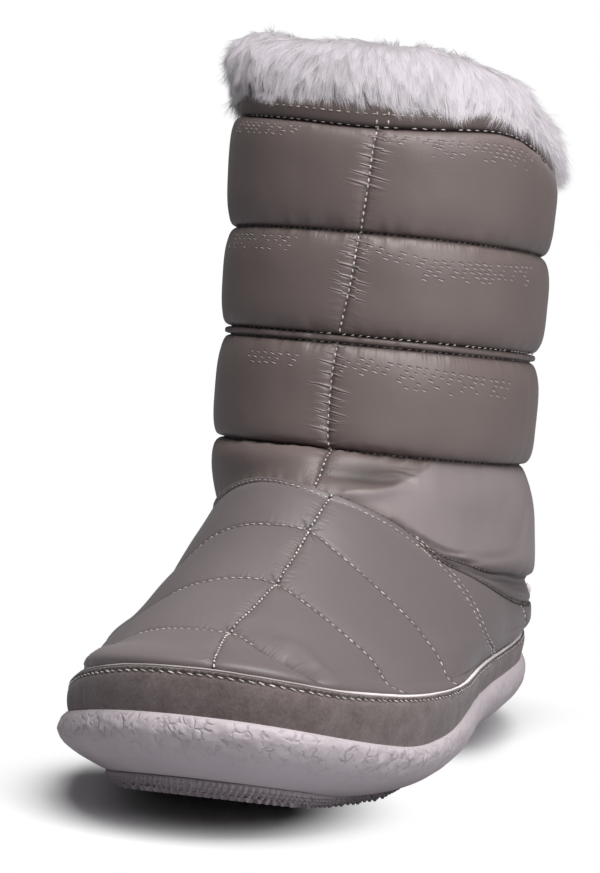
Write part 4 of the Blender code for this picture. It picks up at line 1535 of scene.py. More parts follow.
@dataclass
class Shaft:
    """Quilted tube of four padded bands, with fleece inside."""

    wall: float = 8.0
    columns: int = 300
    seam_depth: float = 1.2
    flatness: float = 3.2      # 2 is a round swell, more is flatter on top
    fullness: float = 0.47     # less gives steeper shoulders at the seams
    droop: float = 0.92        # less than one lets the padding hang to the lower seam
    scallop_mm: float = 2.4    # ripples beside the rings of stitches
    crimp_pitch: float = 2.75
    crimp_step: float = 0.040  # levels from one row of needle marks to the next

    def __post_init__(self) -> None:
        """Draw the seams and creases."""
        self.cloth = Cloth(SHAFT_SEAMS, SHAFT_CREASES, 0.0, seed=11)

    def swell(self, level: np.ndarray, angle: np.ndarray) -> tuple[np.ndarray, np.ndarray]:
        """Fullness of the bands.

        Args:
            level: levels.
            angle: degrees.

        Returns:
            Height over the form in mm, and distance in mm up or down to the nearest seam.
        """
        height = np.full(level.shape, -self.seam_depth)
        near = np.full(level.shape, 50.0)
        for band in SHAFT_BANDS:
            low = ANKLE_EDGE.at(angle) if band.low < 7.0 else np.full(level.shape, band.low)
            span = np.linalg.norm(FORM.points(band.high, angle) - FORM.points(low, angle), axis=-1)
            share = (level - low) / (band.high - low)
            inside = (share >= 0.0) & (share <= 1.0)
            share = np.clip(share, 0.0, 1.0)
            if band.name == "ankle_band":
                # Its lower edge slopes, so its fullness is worked out apart: it sits high at the outer
                # side, hangs low at the inner side and is fullest at the inner ankle.
                inner = ease((angle - 8.0) / 40.0) * ease((120.0 - angle) / 30.0)
                hung = share ** (1.7 - 1.15 * ease((angle + 5.0) / 45.0))
                full = (1.0 - np.abs(2.0 * hung - 1.0) ** (2.4 + 0.3 * inner)) ** 0.55
                belly = 3.6 + 2.8 * ease((angle - 60.0) / 26.0) * ease((125.0 - angle) / 30.0)
                most = belly - 1.5 * np.exp(-(((angle - 44.0) / 24.0) ** 2))
                most = most * np.clip(span / 24.0, 0.55, 1.0)
            else:
                full = (1.0 - np.abs(2.0 * share**self.droop - 1.0) ** self.flatness) ** self.fullness
                most = band.swell
            height = np.where(inside, -self.seam_depth + (most + self.seam_depth) * full, height)
            near = np.where(inside, np.minimum(share, 1.0 - share) * span, near)
        return height, near

    def shape(self, level: np.ndarray, angle: np.ndarray) -> Laid:
        """Lay the cloth at levels and angles."""
        level, angle = np.broadcast_arrays(np.asarray(level, float), np.asarray(angle, float))
        base = FORM.points(level, angle)
        out = FORM.outward(level, angle)
        free, extra, painted_shade, gathers, puckers = self.cloth.relief(base)
        height, near = self.swell(level, angle)
        noise = self.cloth.noise
        line = np.stack([np.radians(angle) * 50.0, level * 40.0], -1)
        padded = ease(near / 5.0)
        uneven = 1.0 + 0.10 * noise.at(base, 30.0) * padded
        height = np.where(height > 0.0, height * free * uneven, height)
        scallops = 0.55 * noise.at(line * np.array([1.0, 0.1]), self.scallop_mm)
        scallops = scallops * np.exp(-(near / 3.0) ** 2) * ease(near / 0.7)
        soft = padded * (0.30 * noise.at(base, 15.0) + 0.12 * noise.at(base * np.array([1.0, 1.0, 0.5]), 5.0))
        extra = extra * ease(0.3 + near / 3.0)
        # painted shade along the seams between the bands
        painted_shade = np.maximum(painted_shade, np.exp(-(near / 0.8) ** 2))
        closer = (near < gathers[..., 1]) | (gathers[..., 2] == 0.0)
        under_seam = (level % 1.0 > 0.5) & (level > 7.0)
        ring = np.stack([line[..., 0], near, np.where(under_seam, 0.6, 0.12)], -1)
        gathers = np.where(closer[..., None], ring, gathers)
        return Laid(base + out * (height + extra + scallops + soft)[..., None], painted_shade, gathers, puckers)

    def build_outside(self) -> bpy.types.Object:
        """Build the nylon outside, from the ankle band's lower edge to the collar seam."""
        angle = columns_by_length(9.0, self.columns, lambda a: 0.5 + 1.1 * np.exp(-((a - 6.0) / 20.0) ** 4)
                                  + 0.35 * ease((115.0 - np.abs(a)) / 30.0))
        low_edge = ANKLE_EDGE.at(angle)
        levels = [low_edge - 0.05]
        for band in SHAFT_BANDS:
            low = low_edge if band.low < 7.0 else np.full(len(angle), band.low)
            line = np.linspace(0.0, 1.0, band.rows + 1)[1:]
            share = 0.62 * line + 0.38 * (0.5 - 0.5 * np.cos(np.pi * line))
            levels += [low + (band.high - low) * s for s in share]
        level = np.stack(levels)
        points, painted_shade, gathers, puckers = self.shape(level, np.broadcast_to(angle, level.shape))
        points[0] = FORM.points(level[0], angle) - FORM.outward(level[0], angle) * 2.4
        points[-1] = FORM.points(level[-1] + 0.03, angle) - FORM.outward(level[-1], angle) * 2.0
        around = run_along(FORM.points(9.0, np.append(angle, 180.0)))
        piece = lay_grid("shaft_quilted", points, around, run_along(points))
        # painted highlight: the ankle band's swell is drawn lighter, up to PAINTED_HIGHLIGHT_LIMIT
        painted_highlight = np.exp(-((angle - 60.0) / 54.0) ** 4) * ease((level - low_edge - 0.03) / 0.25)
        painted_highlight = painted_highlight * ease((8.0 - level) / 0.2)
        painted_highlight = painted_highlight * ease((np.interp(angle, *zip(*PAINTED_HIGHLIGHT_LIMIT)) - level + 0.05) / 0.18)
        paint(piece, "painted_highlight", painted_highlight * (0.85 + 0.15 * self.cloth.noise.at(points, 12.0)))
        paint_vector(piece, "puckers", puckers.reshape(-1, 3))
        paint(piece, "painted_shade", painted_shade)
        paint_vector(piece, "gathers", gathers.reshape(-1, 3))
        return piece

    def build_lining(self) -> bpy.types.Object:
        """Build the fleece inside."""
        angle = columns_by_length(9.0, 160)
        level, grid_angle = cross(np.linspace(6.0, 11.9, 80), angle)
        base = FORM.points(level, grid_angle)
        lumps = Unevenness(29).lumps(base, (0.8, 7.0), (0.5, 3.0))
        wall = self.wall - 2.0 * ease(7.0 - level) + 4.0 * ease((level - 11.0) / 0.9)
        points = base - FORM.outward(level, grid_angle) * (wall + lumps)[..., None]
        return lay_grid("shaft_lining", points[:, ::-1])

    def build_crimps(self) -> bpy.types.Object:
        """Build the rows of needle marks under the seams, each a light dash, a painted highlight, with a dark
        one above it, a painted shade.
        """
        luck = np.random.default_rng(13)
        levels, angles = [], []
        for patch in CRIMP_PATCHES:
            for row in range(patch.rows):
                span = np.linalg.norm(FORM.points(9.0, patch.end) - FORM.points(9.0, patch.start))
                count = max(int(span / self.crimp_pitch), 2)
                share = (np.arange(count) - 0.3 * row) / count
                keep = luck.uniform(0.0, 1.0, count) > 0.04 + 0.13 * row
                share = share[keep] + luck.normal(0.0, 0.003, keep.sum())
                angles.append(patch.start + (patch.end - patch.start) * share)
                drop = patch.slope * share + self.crimp_step * row
                levels.append(patch.level - drop + luck.normal(0.0, 0.002, keep.sum()))
        level, angle = np.concatenate(levels), np.concatenate(angles)
        level, angle = np.concatenate([level, level + 0.016]), np.concatenate([angle, angle])
        points, *_ = self.shape(level, angle)
        out = FORM.outward(level, angle)
        way = unit(FORM.points(level - 0.003, angle + 0.5) - FORM.points(level + 0.003, angle - 0.5))
        size = luck.uniform(0.6, 1.1, len(level) // 2)
        extent = np.array([2.3, 0.55, 0.40]) * np.concatenate([size, size])[:, None]
        scatter = Scatter("shaft_needle_marks_lit_and_shaded", Shape.STITCH, NEEDLE_MARKS_LIT_AND_SHADED)
        # the upper copies take the dark tone as painted shade, the lower ones the light tone as painted
        # highlight
        dark = np.arange(len(level)) >= len(level) // 2
        return scatter.build(points, way, out, extent, seed=14, tones=np.where(dark, 0.0, 1.0))

    def sew(self, book: StitchBook) -> None:
        """Sew the centre and back seams and the rings between the bands."""
        for seam, path in self.cloth.seams:
            book.sew_on(self, seam.thread, path[:, 0], path[:, 1], seam.size)
        for level in (8.0, 9.0, 10.0):
            book.sew_on(self, Thread.TAUPE, level, np.linspace(-180.0, 180.0, 900), ROPE, 0.6)
        for start, end, level, thread, lift in (
                (-70.0, -4.0, 9.075, Thread.LIGHT, 0.7), (-12.0, 110.0, 9.0, Thread.LIGHT, 1.0),
                (-4.0, 112.0, 9.08, Thread.LIGHT, 0.6), (-72.0, -14.0, 9.0, Thread.TAUPE, 0.7)):
            book.sew_on(self, thread, level, np.linspace(start, end, 400), WORN_ROW, lift)
        edge = np.linspace(14.0, 305.0, 560)
        level = ANKLE_EDGE.at(edge) + 0.005
        rise = 1.1 + 0.9 * ease((edge - 50.0) / 14.0) * ease((125.0 - edge) / 14.0)
        points = FORM.points(level + 0.02, edge) + FORM.outward(level, edge) * rise[:, None]
        book.sew(Thread.DARK, points, FORM.outward(level, edge), ROPE)

    def build(self, book: StitchBook) -> list[bpy.types.Object]:
        """Build and dress the shaft, and sew it."""
        outside = dress(self.build_outside(), NYLON.make())
        lining = dress(self.build_lining(), FLEECE.make())
        crimps = dress(self.build_crimps(), NEEDLE_MARKS_LIT_AND_SHADED.make())
        self.sew(book)
        place = FORM.points(6.20, 113.0) + FORM.outward(6.20, 113.0) * 1.4
        tab = Scatter("ankle_tape_tab", Shape.STITCH, PIPING, sides=10, rings=8).build(
            place[None], FORM.climb(6.20, 113.0)[None], FORM.outward(6.20, 113.0)[None],
            np.array([[4.2, 2.0, 2.6]]), seed=15, tones=np.ones(1))
        paint(tab, "pale_share", np.ones(len(tab.data.vertices)))
        dress(tab, PIPING.make())
        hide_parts("shaft")
        return [outside, lining, crimps, tab]


# ---------------------------------------------------------------- band round the foot


@dataclass
class FoxingBand:
    """Nubuck band round the foot, with piping in its top seam and a row of chain stitch."""

    thickness: float = 1.8
    bulge: float = 0.7
    columns: int = 620
    rows: int = 26
    piping_radius: float = 0.42
    row_drop: float = 0.085     # levels from the top edge down to the stitches

    def shape(self, share: np.ndarray, angle: np.ndarray) -> np.ndarray:
        """Points of the band's face; share is 0 at the sole and 1 at the top edge."""
        level = FOXING_EDGE.at(angle) * share
        base = FORM.points(level, angle)
        sunk = np.exp(-((level - FOXING_EDGE.at(angle) + self.row_drop) / 0.05) ** 2)
        noise = Unevenness(17).at(base, 8.0)
        full = GAP + self.thickness + self.bulge * np.sin(np.pi * np.clip(share, 0.0, 1.0)) + 0.15 * noise
        full = full - 0.35 * sunk
        return base + FORM.outward(level, angle) * full[..., None]

    def build_band(self) -> bpy.types.Object:
        """Build the nubuck, from just inside the sole to its turned top edge."""
        angle = columns_by_length(0.5, self.columns)
        share, grid_angle = cross(np.linspace(0.0, 1.0, self.rows), angle)
        points = self.shape(share, grid_angle)
        points[0, :, 2] -= 0.6
        edge = FOXING_EDGE.at(angle)
        turned = [FORM.points(edge + rise, angle) + FORM.outward(edge, angle) * out
                  for rise, out in ((0.022, 1.75), (0.030, 1.2), (0.022, -0.6))]
        points = np.concatenate([points, np.stack(turned)])
        return lay_grid("foxing_band_nubuck", points)

    def build_piping(self) -> bpy.types.Object:
        """Build the thin pale cord that shows along the top edge."""
        angle = columns_by_length(0.9, 420)
        edge = FOXING_EDGE.at(angle) + 0.055
        centre = FORM.points(edge, angle) + FORM.outward(edge, angle) * 0.95
        centre = centre + 0.12 * Unevenness(19).at(centre, 6.0)[:, None] * FORM.climb(edge, angle)
        out, up = FORM.outward(edge, angle), FORM.climb(edge, angle)
        side = signed(angle)
        inner = ease((side - 22.0) / 30.0)
        outer = ease((-side - 45.0) / 20.0)
        radius = self.piping_radius * (0.75 + 0.6 * inner)
        turn = np.linspace(0.0, 2.0 * np.pi, 9)[:-1]
        rows = [centre + radius[:, None] * (out * np.cos(t) + up * np.sin(t)) for t in turn]
        piece = lay_grid("foxing_piping", np.stack([*rows, rows[0]]))
        # paler at the big-toe side and a little at the outer side, darker at the front
        pale_share = 0.34 + 0.66 * np.maximum(inner, 0.4 * outer) + 0.12 * Unevenness(20).at(centre, 5.0)
        paint(piece, "pale_share", np.tile(np.clip(pale_share, 0.0, 1.0), (len(rows) + 1, 1)))
        return piece

    def sew(self, book: StitchBook) -> None:
        """Sew the chain stitch under the top edge, with two close dark rows that are painted shade: one under
        the piping's lip and one in the stitches' groove.
        """
        angle = np.linspace(-180.0, 180.0, 2400)
        shade_cord = StitchSize(pitch=2.0, length=2.4, width=1.1, height=0.5)
        open_row = StitchSize(pitch=2.9, length=2.3, width=0.55, height=0.5, slant=-14.0)
        # the two close dark rows are painted shade: a dark cord under the piping's lip and another in the
        # groove of the stitches
        for drop, thread, size, lift in ((0.03, Thread.DARK, shade_cord, -0.15),
                                         (self.row_drop, Thread.DARK, shade_cord, -0.15),
                                         (self.row_drop, Thread.LIGHT, open_row, 0.15)):
            share = 1.0 - drop / FOXING_EDGE.at(angle)
            points = self.shape(share, angle)
            out = FORM.outward(FOXING_EDGE.at(angle) * share, angle)
            book.sew(thread, points + out * lift, out, size)

    def build(self, book: StitchBook) -> list[bpy.types.Object]:
        """Build and dress the band, and sew it."""
        band = dress(self.build_band(), NUBUCK.make())
        piping = dress(self.build_piping(), PIPING.make())
        self.sew(book)
        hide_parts("foxing_band")
        return [band, piping]


# ---------------------------------------------------------------- the sole


def lid_faces(first: int, count: int, start: int, strips: int) -> list[tuple[int, ...]]:
    """Quads of a lid that runs from side to side of a ring.

    Args:
        first: number of the ring's first vertex.
        count: vertices in the ring.
        start: number of the first inner vertex.
        strips: strips across.

    Returns:
        Faces, anticlockwise seen from above; the two end strips are quads with a doubled corner left out.
    """
    half = count // 2
    rows = [[first + place, *(start + (place - 1) * (strips - 1) + part for part in range(strips - 1)),
             first + count - place] for place in range(1, half)]
    faces: list[tuple[int, ...]] = []
    for near, far in zip(rows, rows[1:]):
        faces += [(near[part], far[part], far[part + 1], near[part + 1]) for part in range(strips)]
    faces += [(first, rows[0][part], rows[0][part + 1]) for part in range(strips)]
    faces += [(first + half, rows[-1][part + 1], rows[-1][part]) for part in range(strips)]
    return faces


def lay_block(name: str, rings: Sequence[np.ndarray], rise_bottom: Callable[[np.ndarray], np.ndarray],
              rise_top: Callable[[np.ndarray], np.ndarray], strips: int = 6) -> bpy.types.Object:
    """Make a closed block from rings, with a lid over the last and under the first.

    Args:
        name: the piece's name.
        rings: rings of points in mm, from the bottom up, anticlockwise seen from above.
        rise_bottom: height of the lower lid at each y.
        rise_top: height of the upper lid at each y.
        strips: strips across each lid.

    Returns:
        The new object.
    """
    count = len(rings[0])
    half = count // 2
    points = [np.concatenate(rings)]
    faces: list[tuple[int, ...]] = []
    for row in range(len(rings) - 1):
        for place in range(count):
            following = (place + 1) % count
            faces.append((row * count + place, row * count + following,
                          (row + 1) * count + following, (row + 1) * count + place))
    start = len(points[0])
    for ring, row, rise, top in ((rings[0], 0, rise_bottom, False),
                                 (rings[-1], len(rings) - 1, rise_top, True)):
        left, right = ring[1:half], ring[:half:-1]
        share = (np.arange(1, strips) / strips)[None, :, None]
        inner = left[:, None] * (1.0 - share) + right[:, None] * share
        inner[..., 2] = rise(inner[..., 1])
        lid = lid_faces(row * count, count, start, strips)
        faces += lid if top else [face[::-1] for face in lid]
        points.append(inner.reshape(-1, 3))
        start += len(points[-1])
    data = bpy.data.meshes.new(name)
    data.from_pydata((np.concatenate(points) * MM).tolist(), [], faces)
    data.update()
    data.shade_smooth()
    return link(bpy.data.objects.new(name, data))


@dataclass
class FoamSole:
    """Moulded foam sole with boat-shaped sides, and the knobbed tread under it."""

    columns: int = 760
    crackle_depth: float = 0.26
    belly: float = 1.6         # how much fuller the outer side is
    tread_inset: float = 4.5   # how far the tread hides under the foam at both sides
    foam_steps: tuple[SoleStep, ...] = (
        SoleStep(-13.5, 3.3), SoleStep(-8.4, 4.5), SoleStep(-5.4, 5.8), SoleStep(-1.6, 8.2),
        SoleStep(2.4, 11.4), SoleStep(4.2, 14.6), SoleStep(3.9, 18.0), SoleStep(2.4, 19.5))
    tread_steps: tuple[SoleStep, ...] = (
        SoleStep(-13.0, 1.3), SoleStep(-11.4, 1.7), SoleStep(-9.4, 3.0), SoleStep(-8.4, 4.3))
    knob_pitch: float = 2.5
    knob_size: tuple[float, float, float] = (1.9, 1.9, 1.4)
    rim_pitch: float = 1.9
    rim_size: tuple[float, float, float] = (1.7, 1.5, 1.0)
    rim_rows: tuple[SoleStep, ...] = (SoleStep(-11.2, 1.9), SoleStep(-9.9, 2.8), SoleStep(-8.9, 3.7))

    def tread_ring(self, step: SoleStep, angle: np.ndarray) -> np.ndarray:
        """One ring of the tread, flush with the foam at the toe and further in at both sides."""
        ring = FORM.sole_ring(step, angle)
        side = signed(angle)
        inset = self.tread_inset * np.maximum(ease((side - 32.0) / 30.0), ease((-side - 38.0) / 30.0))
        ring = ring - BootForm.plan_normal(ring) * inset[:, None]
        ring[:, 2] = FORM.sole_rise(step, ring[:, 1])
        return ring

    def columns_angle(self, count: int) -> np.ndarray:
        """Even columns round the featherline, the first at the front."""
        fine = np.linspace(0.0, 360.0, 2881)
        total = run_along(FORM.points(0.0, fine))
        half = count // 2
        middle = np.interp(180.0, fine, total)
        first = np.interp(np.arange(half) / half * middle, total, fine)
        rest = np.arange(count - half) / (count - half) * (total[-1] - middle)
        second = np.interp(middle + rest, total, fine)
        return np.concatenate([first, second])

    def profile(self, rows: int) -> list[SoleStep]:
        """The foam's side as a smooth curve of steps."""
        out = np.array([step.out for step in self.foam_steps])
        height = np.array([step.height for step in self.foam_steps])
        run = run_along(np.stack([out, height], -1))
        places = np.linspace(0.0, run[-1], 200)
        smooth = [np.interp(places, run, values) for values in (out, height)]
        kernel = np.hanning(37)
        kernel /= kernel.sum()
        eased = [np.convolve(np.pad(values, 18, mode="reflect", reflect_type="odd"), kernel, "valid")
                 for values in smooth]
        pick = np.linspace(0, 199, rows).round().astype(int)
        return [SoleStep(float(eased[0][p]), float(eased[1][p])) for p in pick]

    def build_foam(self) -> bpy.types.Object:
        """Build the foam with its crackled skin."""
        angle = self.columns_angle(self.columns)
        steps = self.profile(30)
        rings = [FORM.sole_ring(step, angle) for step in steps]
        outer_side = ease((20.0 - signed(angle)) / 60.0)
        for step, ring in zip(steps, rings):
            belly = np.exp(-((step.height - 11.0) / 5.0) ** 2) * ease((step.height - 4.9) / 3.0)
            ring += BootForm.plan_normal(ring) * (self.belly * belly * outer_side)[:, None]
        noise = Unevenness(31)
        crackle = []
        shaped = []
        for step, ring in zip(steps, rings):
            # The skin is roughest on the upper half of the side, and more so at the toe.
            side = ease((step.height - 6.5) / 3.0) * ease((19.6 - step.height) / 1.5)
            toe = 0.30 + 0.70 * ease((-20.0 - ring[:, 1]) / 70.0)
            upper = 0.25 + 0.75 * ease((step.height - 9.5) / 5.0)
            ridges = noise.at(ring * np.array([0.35, 0.35, 1.6]), 1.9)
            pebble = noise.at(ring + 70.0, 3.4) + 0.5 * np.abs(noise.at(ring, 1.8))
            depth = self.crackle_depth * side * toe * upper
            wave = 0.16 * side * ridges + 0.35 * side * noise.at(ring, 26.0)
            shaped.append(ring + BootForm.plan_normal(ring) * (wave - depth * 1.5 * pebble)[:, None])
            crackle.append(side * toe * upper)
        piece = lay_block("midsole_foam", shaped, lambda y: FORM.sole_rise(steps[0], y),
                          lambda y: FORM.sole_rise(steps[-1], y))
        values = np.zeros(len(piece.data.vertices))
        values[:self.columns * len(rings)] = np.concatenate(crackle)
        paint(piece, "crackle", values)
        return piece

    def build_tread(self) -> bpy.types.Object:
        """Build the tread's body, raised so that its knobs reach the floor."""
        angle = self.columns_angle(400)
        rings = [self.tread_ring(step, angle) for step in self.tread_steps]
        return lay_block("outsole_tread", rings, lambda y: FORM.sole_rise(self.tread_steps[0], y),
                         lambda y: FORM.sole_rise(self.tread_steps[-1], y))

    def build_knobs(self) -> bpy.types.Object:
        """Build the fine knobs under the tread and round its lower edge."""
        fine = np.linspace(0.0, 360.0, 721)[:-1]
        edge = self.tread_ring(SoleStep(-11.4, 0.0), fine)
        pitch = self.knob_pitch
        y_rows = np.arange(edge[:, 1].min() + pitch, edge[:, 1].max() - 0.5, pitch * 0.87)
        places = []
        for number, y in enumerate(y_rows):
            near = np.abs(edge[:, 1] - y) < 2.0
            left, right = edge[near, 0].min(), edge[near, 0].max()
            x = np.arange(left + 1.0 + 0.5 * pitch * (number % 2), right - 0.8, pitch)
            places.append(np.stack([x, np.full_like(x, y), np.zeros_like(x)], -1))
        bottom = np.concatenate(places)
        bottom[:, 2] = FORM.sole_rise(SoleStep(0.0, 0.0), bottom[:, 1]) + self.knob_size[2]
        count = len(bottom)
        rows = [(bottom, np.tile([1.0, 0.0, 0.0], (count, 1)), np.tile([0.0, 0.0, -1.0], (count, 1)),
                 np.tile(self.knob_size, (count, 1)))]
        for number, step in enumerate(self.rim_rows):
            ring = self.tread_ring(step, fine)
            length = run_along(ring)
            spots = np.arange(0.5 * (number % 2) * self.rim_pitch, length[-1], self.rim_pitch)
            pick = np.interp(spots, length, np.arange(len(ring))).round().astype(int)
            normal = BootForm.plan_normal(ring)[pick]
            normal[:, 2] = -1.0
            rows.append((ring[pick], np.cross([0.0, 0.0, 1.0], normal), unit(normal),
                         np.tile(self.rim_size, (len(pick), 1))))
        scatter = Scatter("outsole_knobs", Shape.KNOB, RUBBER)
        return scatter.build(*(np.concatenate(column) for column in zip(*rows)), seed=33)

    def build(self) -> list[bpy.types.Object]:
        """Build and dress the sole."""
        foam = dress(self.build_foam(), FOAM.make())
        tread = dress(self.build_tread(), RUBBER.make())
        knobs = dress(self.build_knobs(), RUBBER.make())
        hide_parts("midsole")
        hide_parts("outsole")
        return [foam, tread, knobs]


@dataclass
class Footbed:
    """Fleece-covered footbed inside the boot."""

    thickness: float = 5.0
    inset: float = 6.6

    def build(self) -> list[bpy.types.Object]:
        """Build and dress the footbed."""
        angle = FoamSole().columns_angle(240)
        bottom = FORM.sole_thickness + GAP
        top = bottom + self.thickness
        rings = [FORM.seat_ring(-(self.inset + inset), bottom + share * self.thickness, angle)
                 for inset, share in ((1.0, 0.0), (0.4, 0.35), (0.6, 0.7), (2.0, 0.95), (4.5, 1.0))]
        piece = lay_block("footbed_fleece", rings, lambda y: bottom + FORM.seat_lift(y),
                          lambda y: top + FORM.seat_lift(y), strips=16)
        dress(piece, FLEECE.make())
        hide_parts("insole")
        return [piece]


# ---------------------------------------------------------------- the collar


@dataclass
class CollarStrip:
    """Narrow nylon strip between the top padded band and the plush."""

    columns: int = 300
    rows: int = 14
    swell: float = 0.9
    length: float = 330.0      # round the boot, for the weave
    height: float = 9.0

    def shape(self, share: np.ndarray, angle: np.ndarray) -> np.ndarray:
        """Points of the strip; share is 0 at the collar seam and 1 at the top."""
        level = LEVEL["collar_seam"] + share
        base = FORM.points(level, angle)
        noise = Unevenness(37).at(base, 5.0)
        full = 0.2 + self.swell * np.sin(np.pi * np.clip(share, 0.0, 1.0)) ** 0.7 + 0.25 * noise
        return base + FORM.outward(level, angle) * full[..., None]

    def build(self, book: StitchBook) -> list[bpy.types.Object]:
        """Build and dress the strip, and sew its two rows and its two upright columns."""
        angle = columns_by_length(11.0, self.columns)
        share, grid_angle = cross(np.linspace(0.0, 1.0, self.rows), angle)
        points = self.shape(share, grid_angle)
        points[0] -= FORM.outward(LEVEL["collar_seam"], angle) * 2.2
        points[-1] -= FORM.outward(LEVEL["collar_top"], angle) * 2.2
        around = np.linspace(0.0, self.length, self.columns + 1)
        piece = lay_grid("collar_strip", points, around, share * self.height)
        # painted shadow of the plush over the whole strip, deepest at its lower seam
        paint(piece, "painted_shade", 0.45 + 0.45 * np.exp(-((share - 0.05) / 0.12) ** 2).ravel())
        dress(piece, NYLON.make())
        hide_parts("collar_band")
        sweep = np.linspace(-180.0, 180.0, 900)
        for height, start, end, thread in ((0.42, -36.0, 34.0, Thread.LIGHT),
                                           (0.04, -60.0, 8.0, Thread.TAUPE),
                                           (0.04, 8.0, 120.0, Thread.LIGHT)):
            part = sweep[(sweep >= start) & (sweep <= end)]
            line = np.full_like(part, height)
            out = FORM.outward(LEVEL["collar_seam"] + line, part)
            book.sew(thread, self.shape(line, part), out, STRIP_ROW)
        for column in (9.6, 13.6):
            line = np.linspace(0.05, 0.95, 30)
            turned = np.full_like(line, column)
            book.sew(Thread.LIGHT, self.shape(line, turned),
                     FORM.outward(LEVEL["collar_seam"] + line, turned), FINE)
        return [piece]


class PileZone(Enum):
    """Parts of the plush collar, from the strip up and over to the inside."""

    SKIRT = "skirt"
    CROWN = "crown"
    INNER = "inner"


@dataclass(frozen=True)
class PileGrowth:
    """How the hairs of one zone grow."""

    zone: PileZone
    low: float                 # share round the collar's cross-section where the zone starts
    high: float                # and where it ends
    density: float             # hairs per square mm
    length: float
    droop: float               # how far the tips fall


PILE_GROWTH = (
    PileGrowth(PileZone.SKIRT, -0.17, 0.17, 7.1, 5.6, 0.9),
    PileGrowth(PileZone.CROWN, 0.17, 0.46, 5.0, 3.5, 1.1),
    PileGrowth(PileZone.INNER, 0.46, 0.83, 1.4, 2.6, 0.8),
)


class PileLump(NamedTuple):
    """A place where the plush stands out in a rounded tuft."""

    angle: float
    height: float              # above the collar's lower edge, in mm
    raised: float
    reach: float


PILE_LUMPS = (
    PileLump(-82.0, 14.0, 2.2, 6.0),
    PileLump(-86.0, 5.0, 2.4, 4.5),
    PileLump(-88.0, -3.0, 2.2, 4.5),
    PileLump(-50.0, 16.0, 1.2, 7.0),
    PileLump(-12.0, 14.0, 0.7, 7.0),
    PileLump(34.0, 12.0, 0.8, 8.0),
)


class PileSection(NamedTuple):
    """Cross-section of the plush ring at one place."""

    angle: float
    out: float                 # how far it stands out from the form
    height: float
    hangs: float               # how far its outer side sags below the collar's edge
    slant: float               # how far its top leans in


PILE_RISE = (
    PileSection(-180.0, 4.0, 9.0, 3.0, 0.8), PileSection(-120.0, 4.6, 12.0, 3.5, 0.3),
    PileSection(-84.0, 4.6, 15.6, 6.5, -1.0), PileSection(-62.0, 4.6, 16.6, 2.0, -1.4),
    PileSection(-30.0, 4.6, 16.8, 0.0, -0.4), PileSection(0.0, 4.6, 17.4, -0.8, 0.0),
    PileSection(30.0, 4.4, 16.4, 2.0, 0.2), PileSection(60.0, 3.6, 10.5, 5.6, 2.2),
    PileSection(85.0, 2.0, 9.0, 7.0, 3.6), PileSection(110.0, 1.6, 10.0, 10.5, 3.8),
    PileSection(145.0, 3.0, 9.5, 6.0, 1.8), PileSection(180.0, 4.0, 9.0, 3.0, 0.8),
)


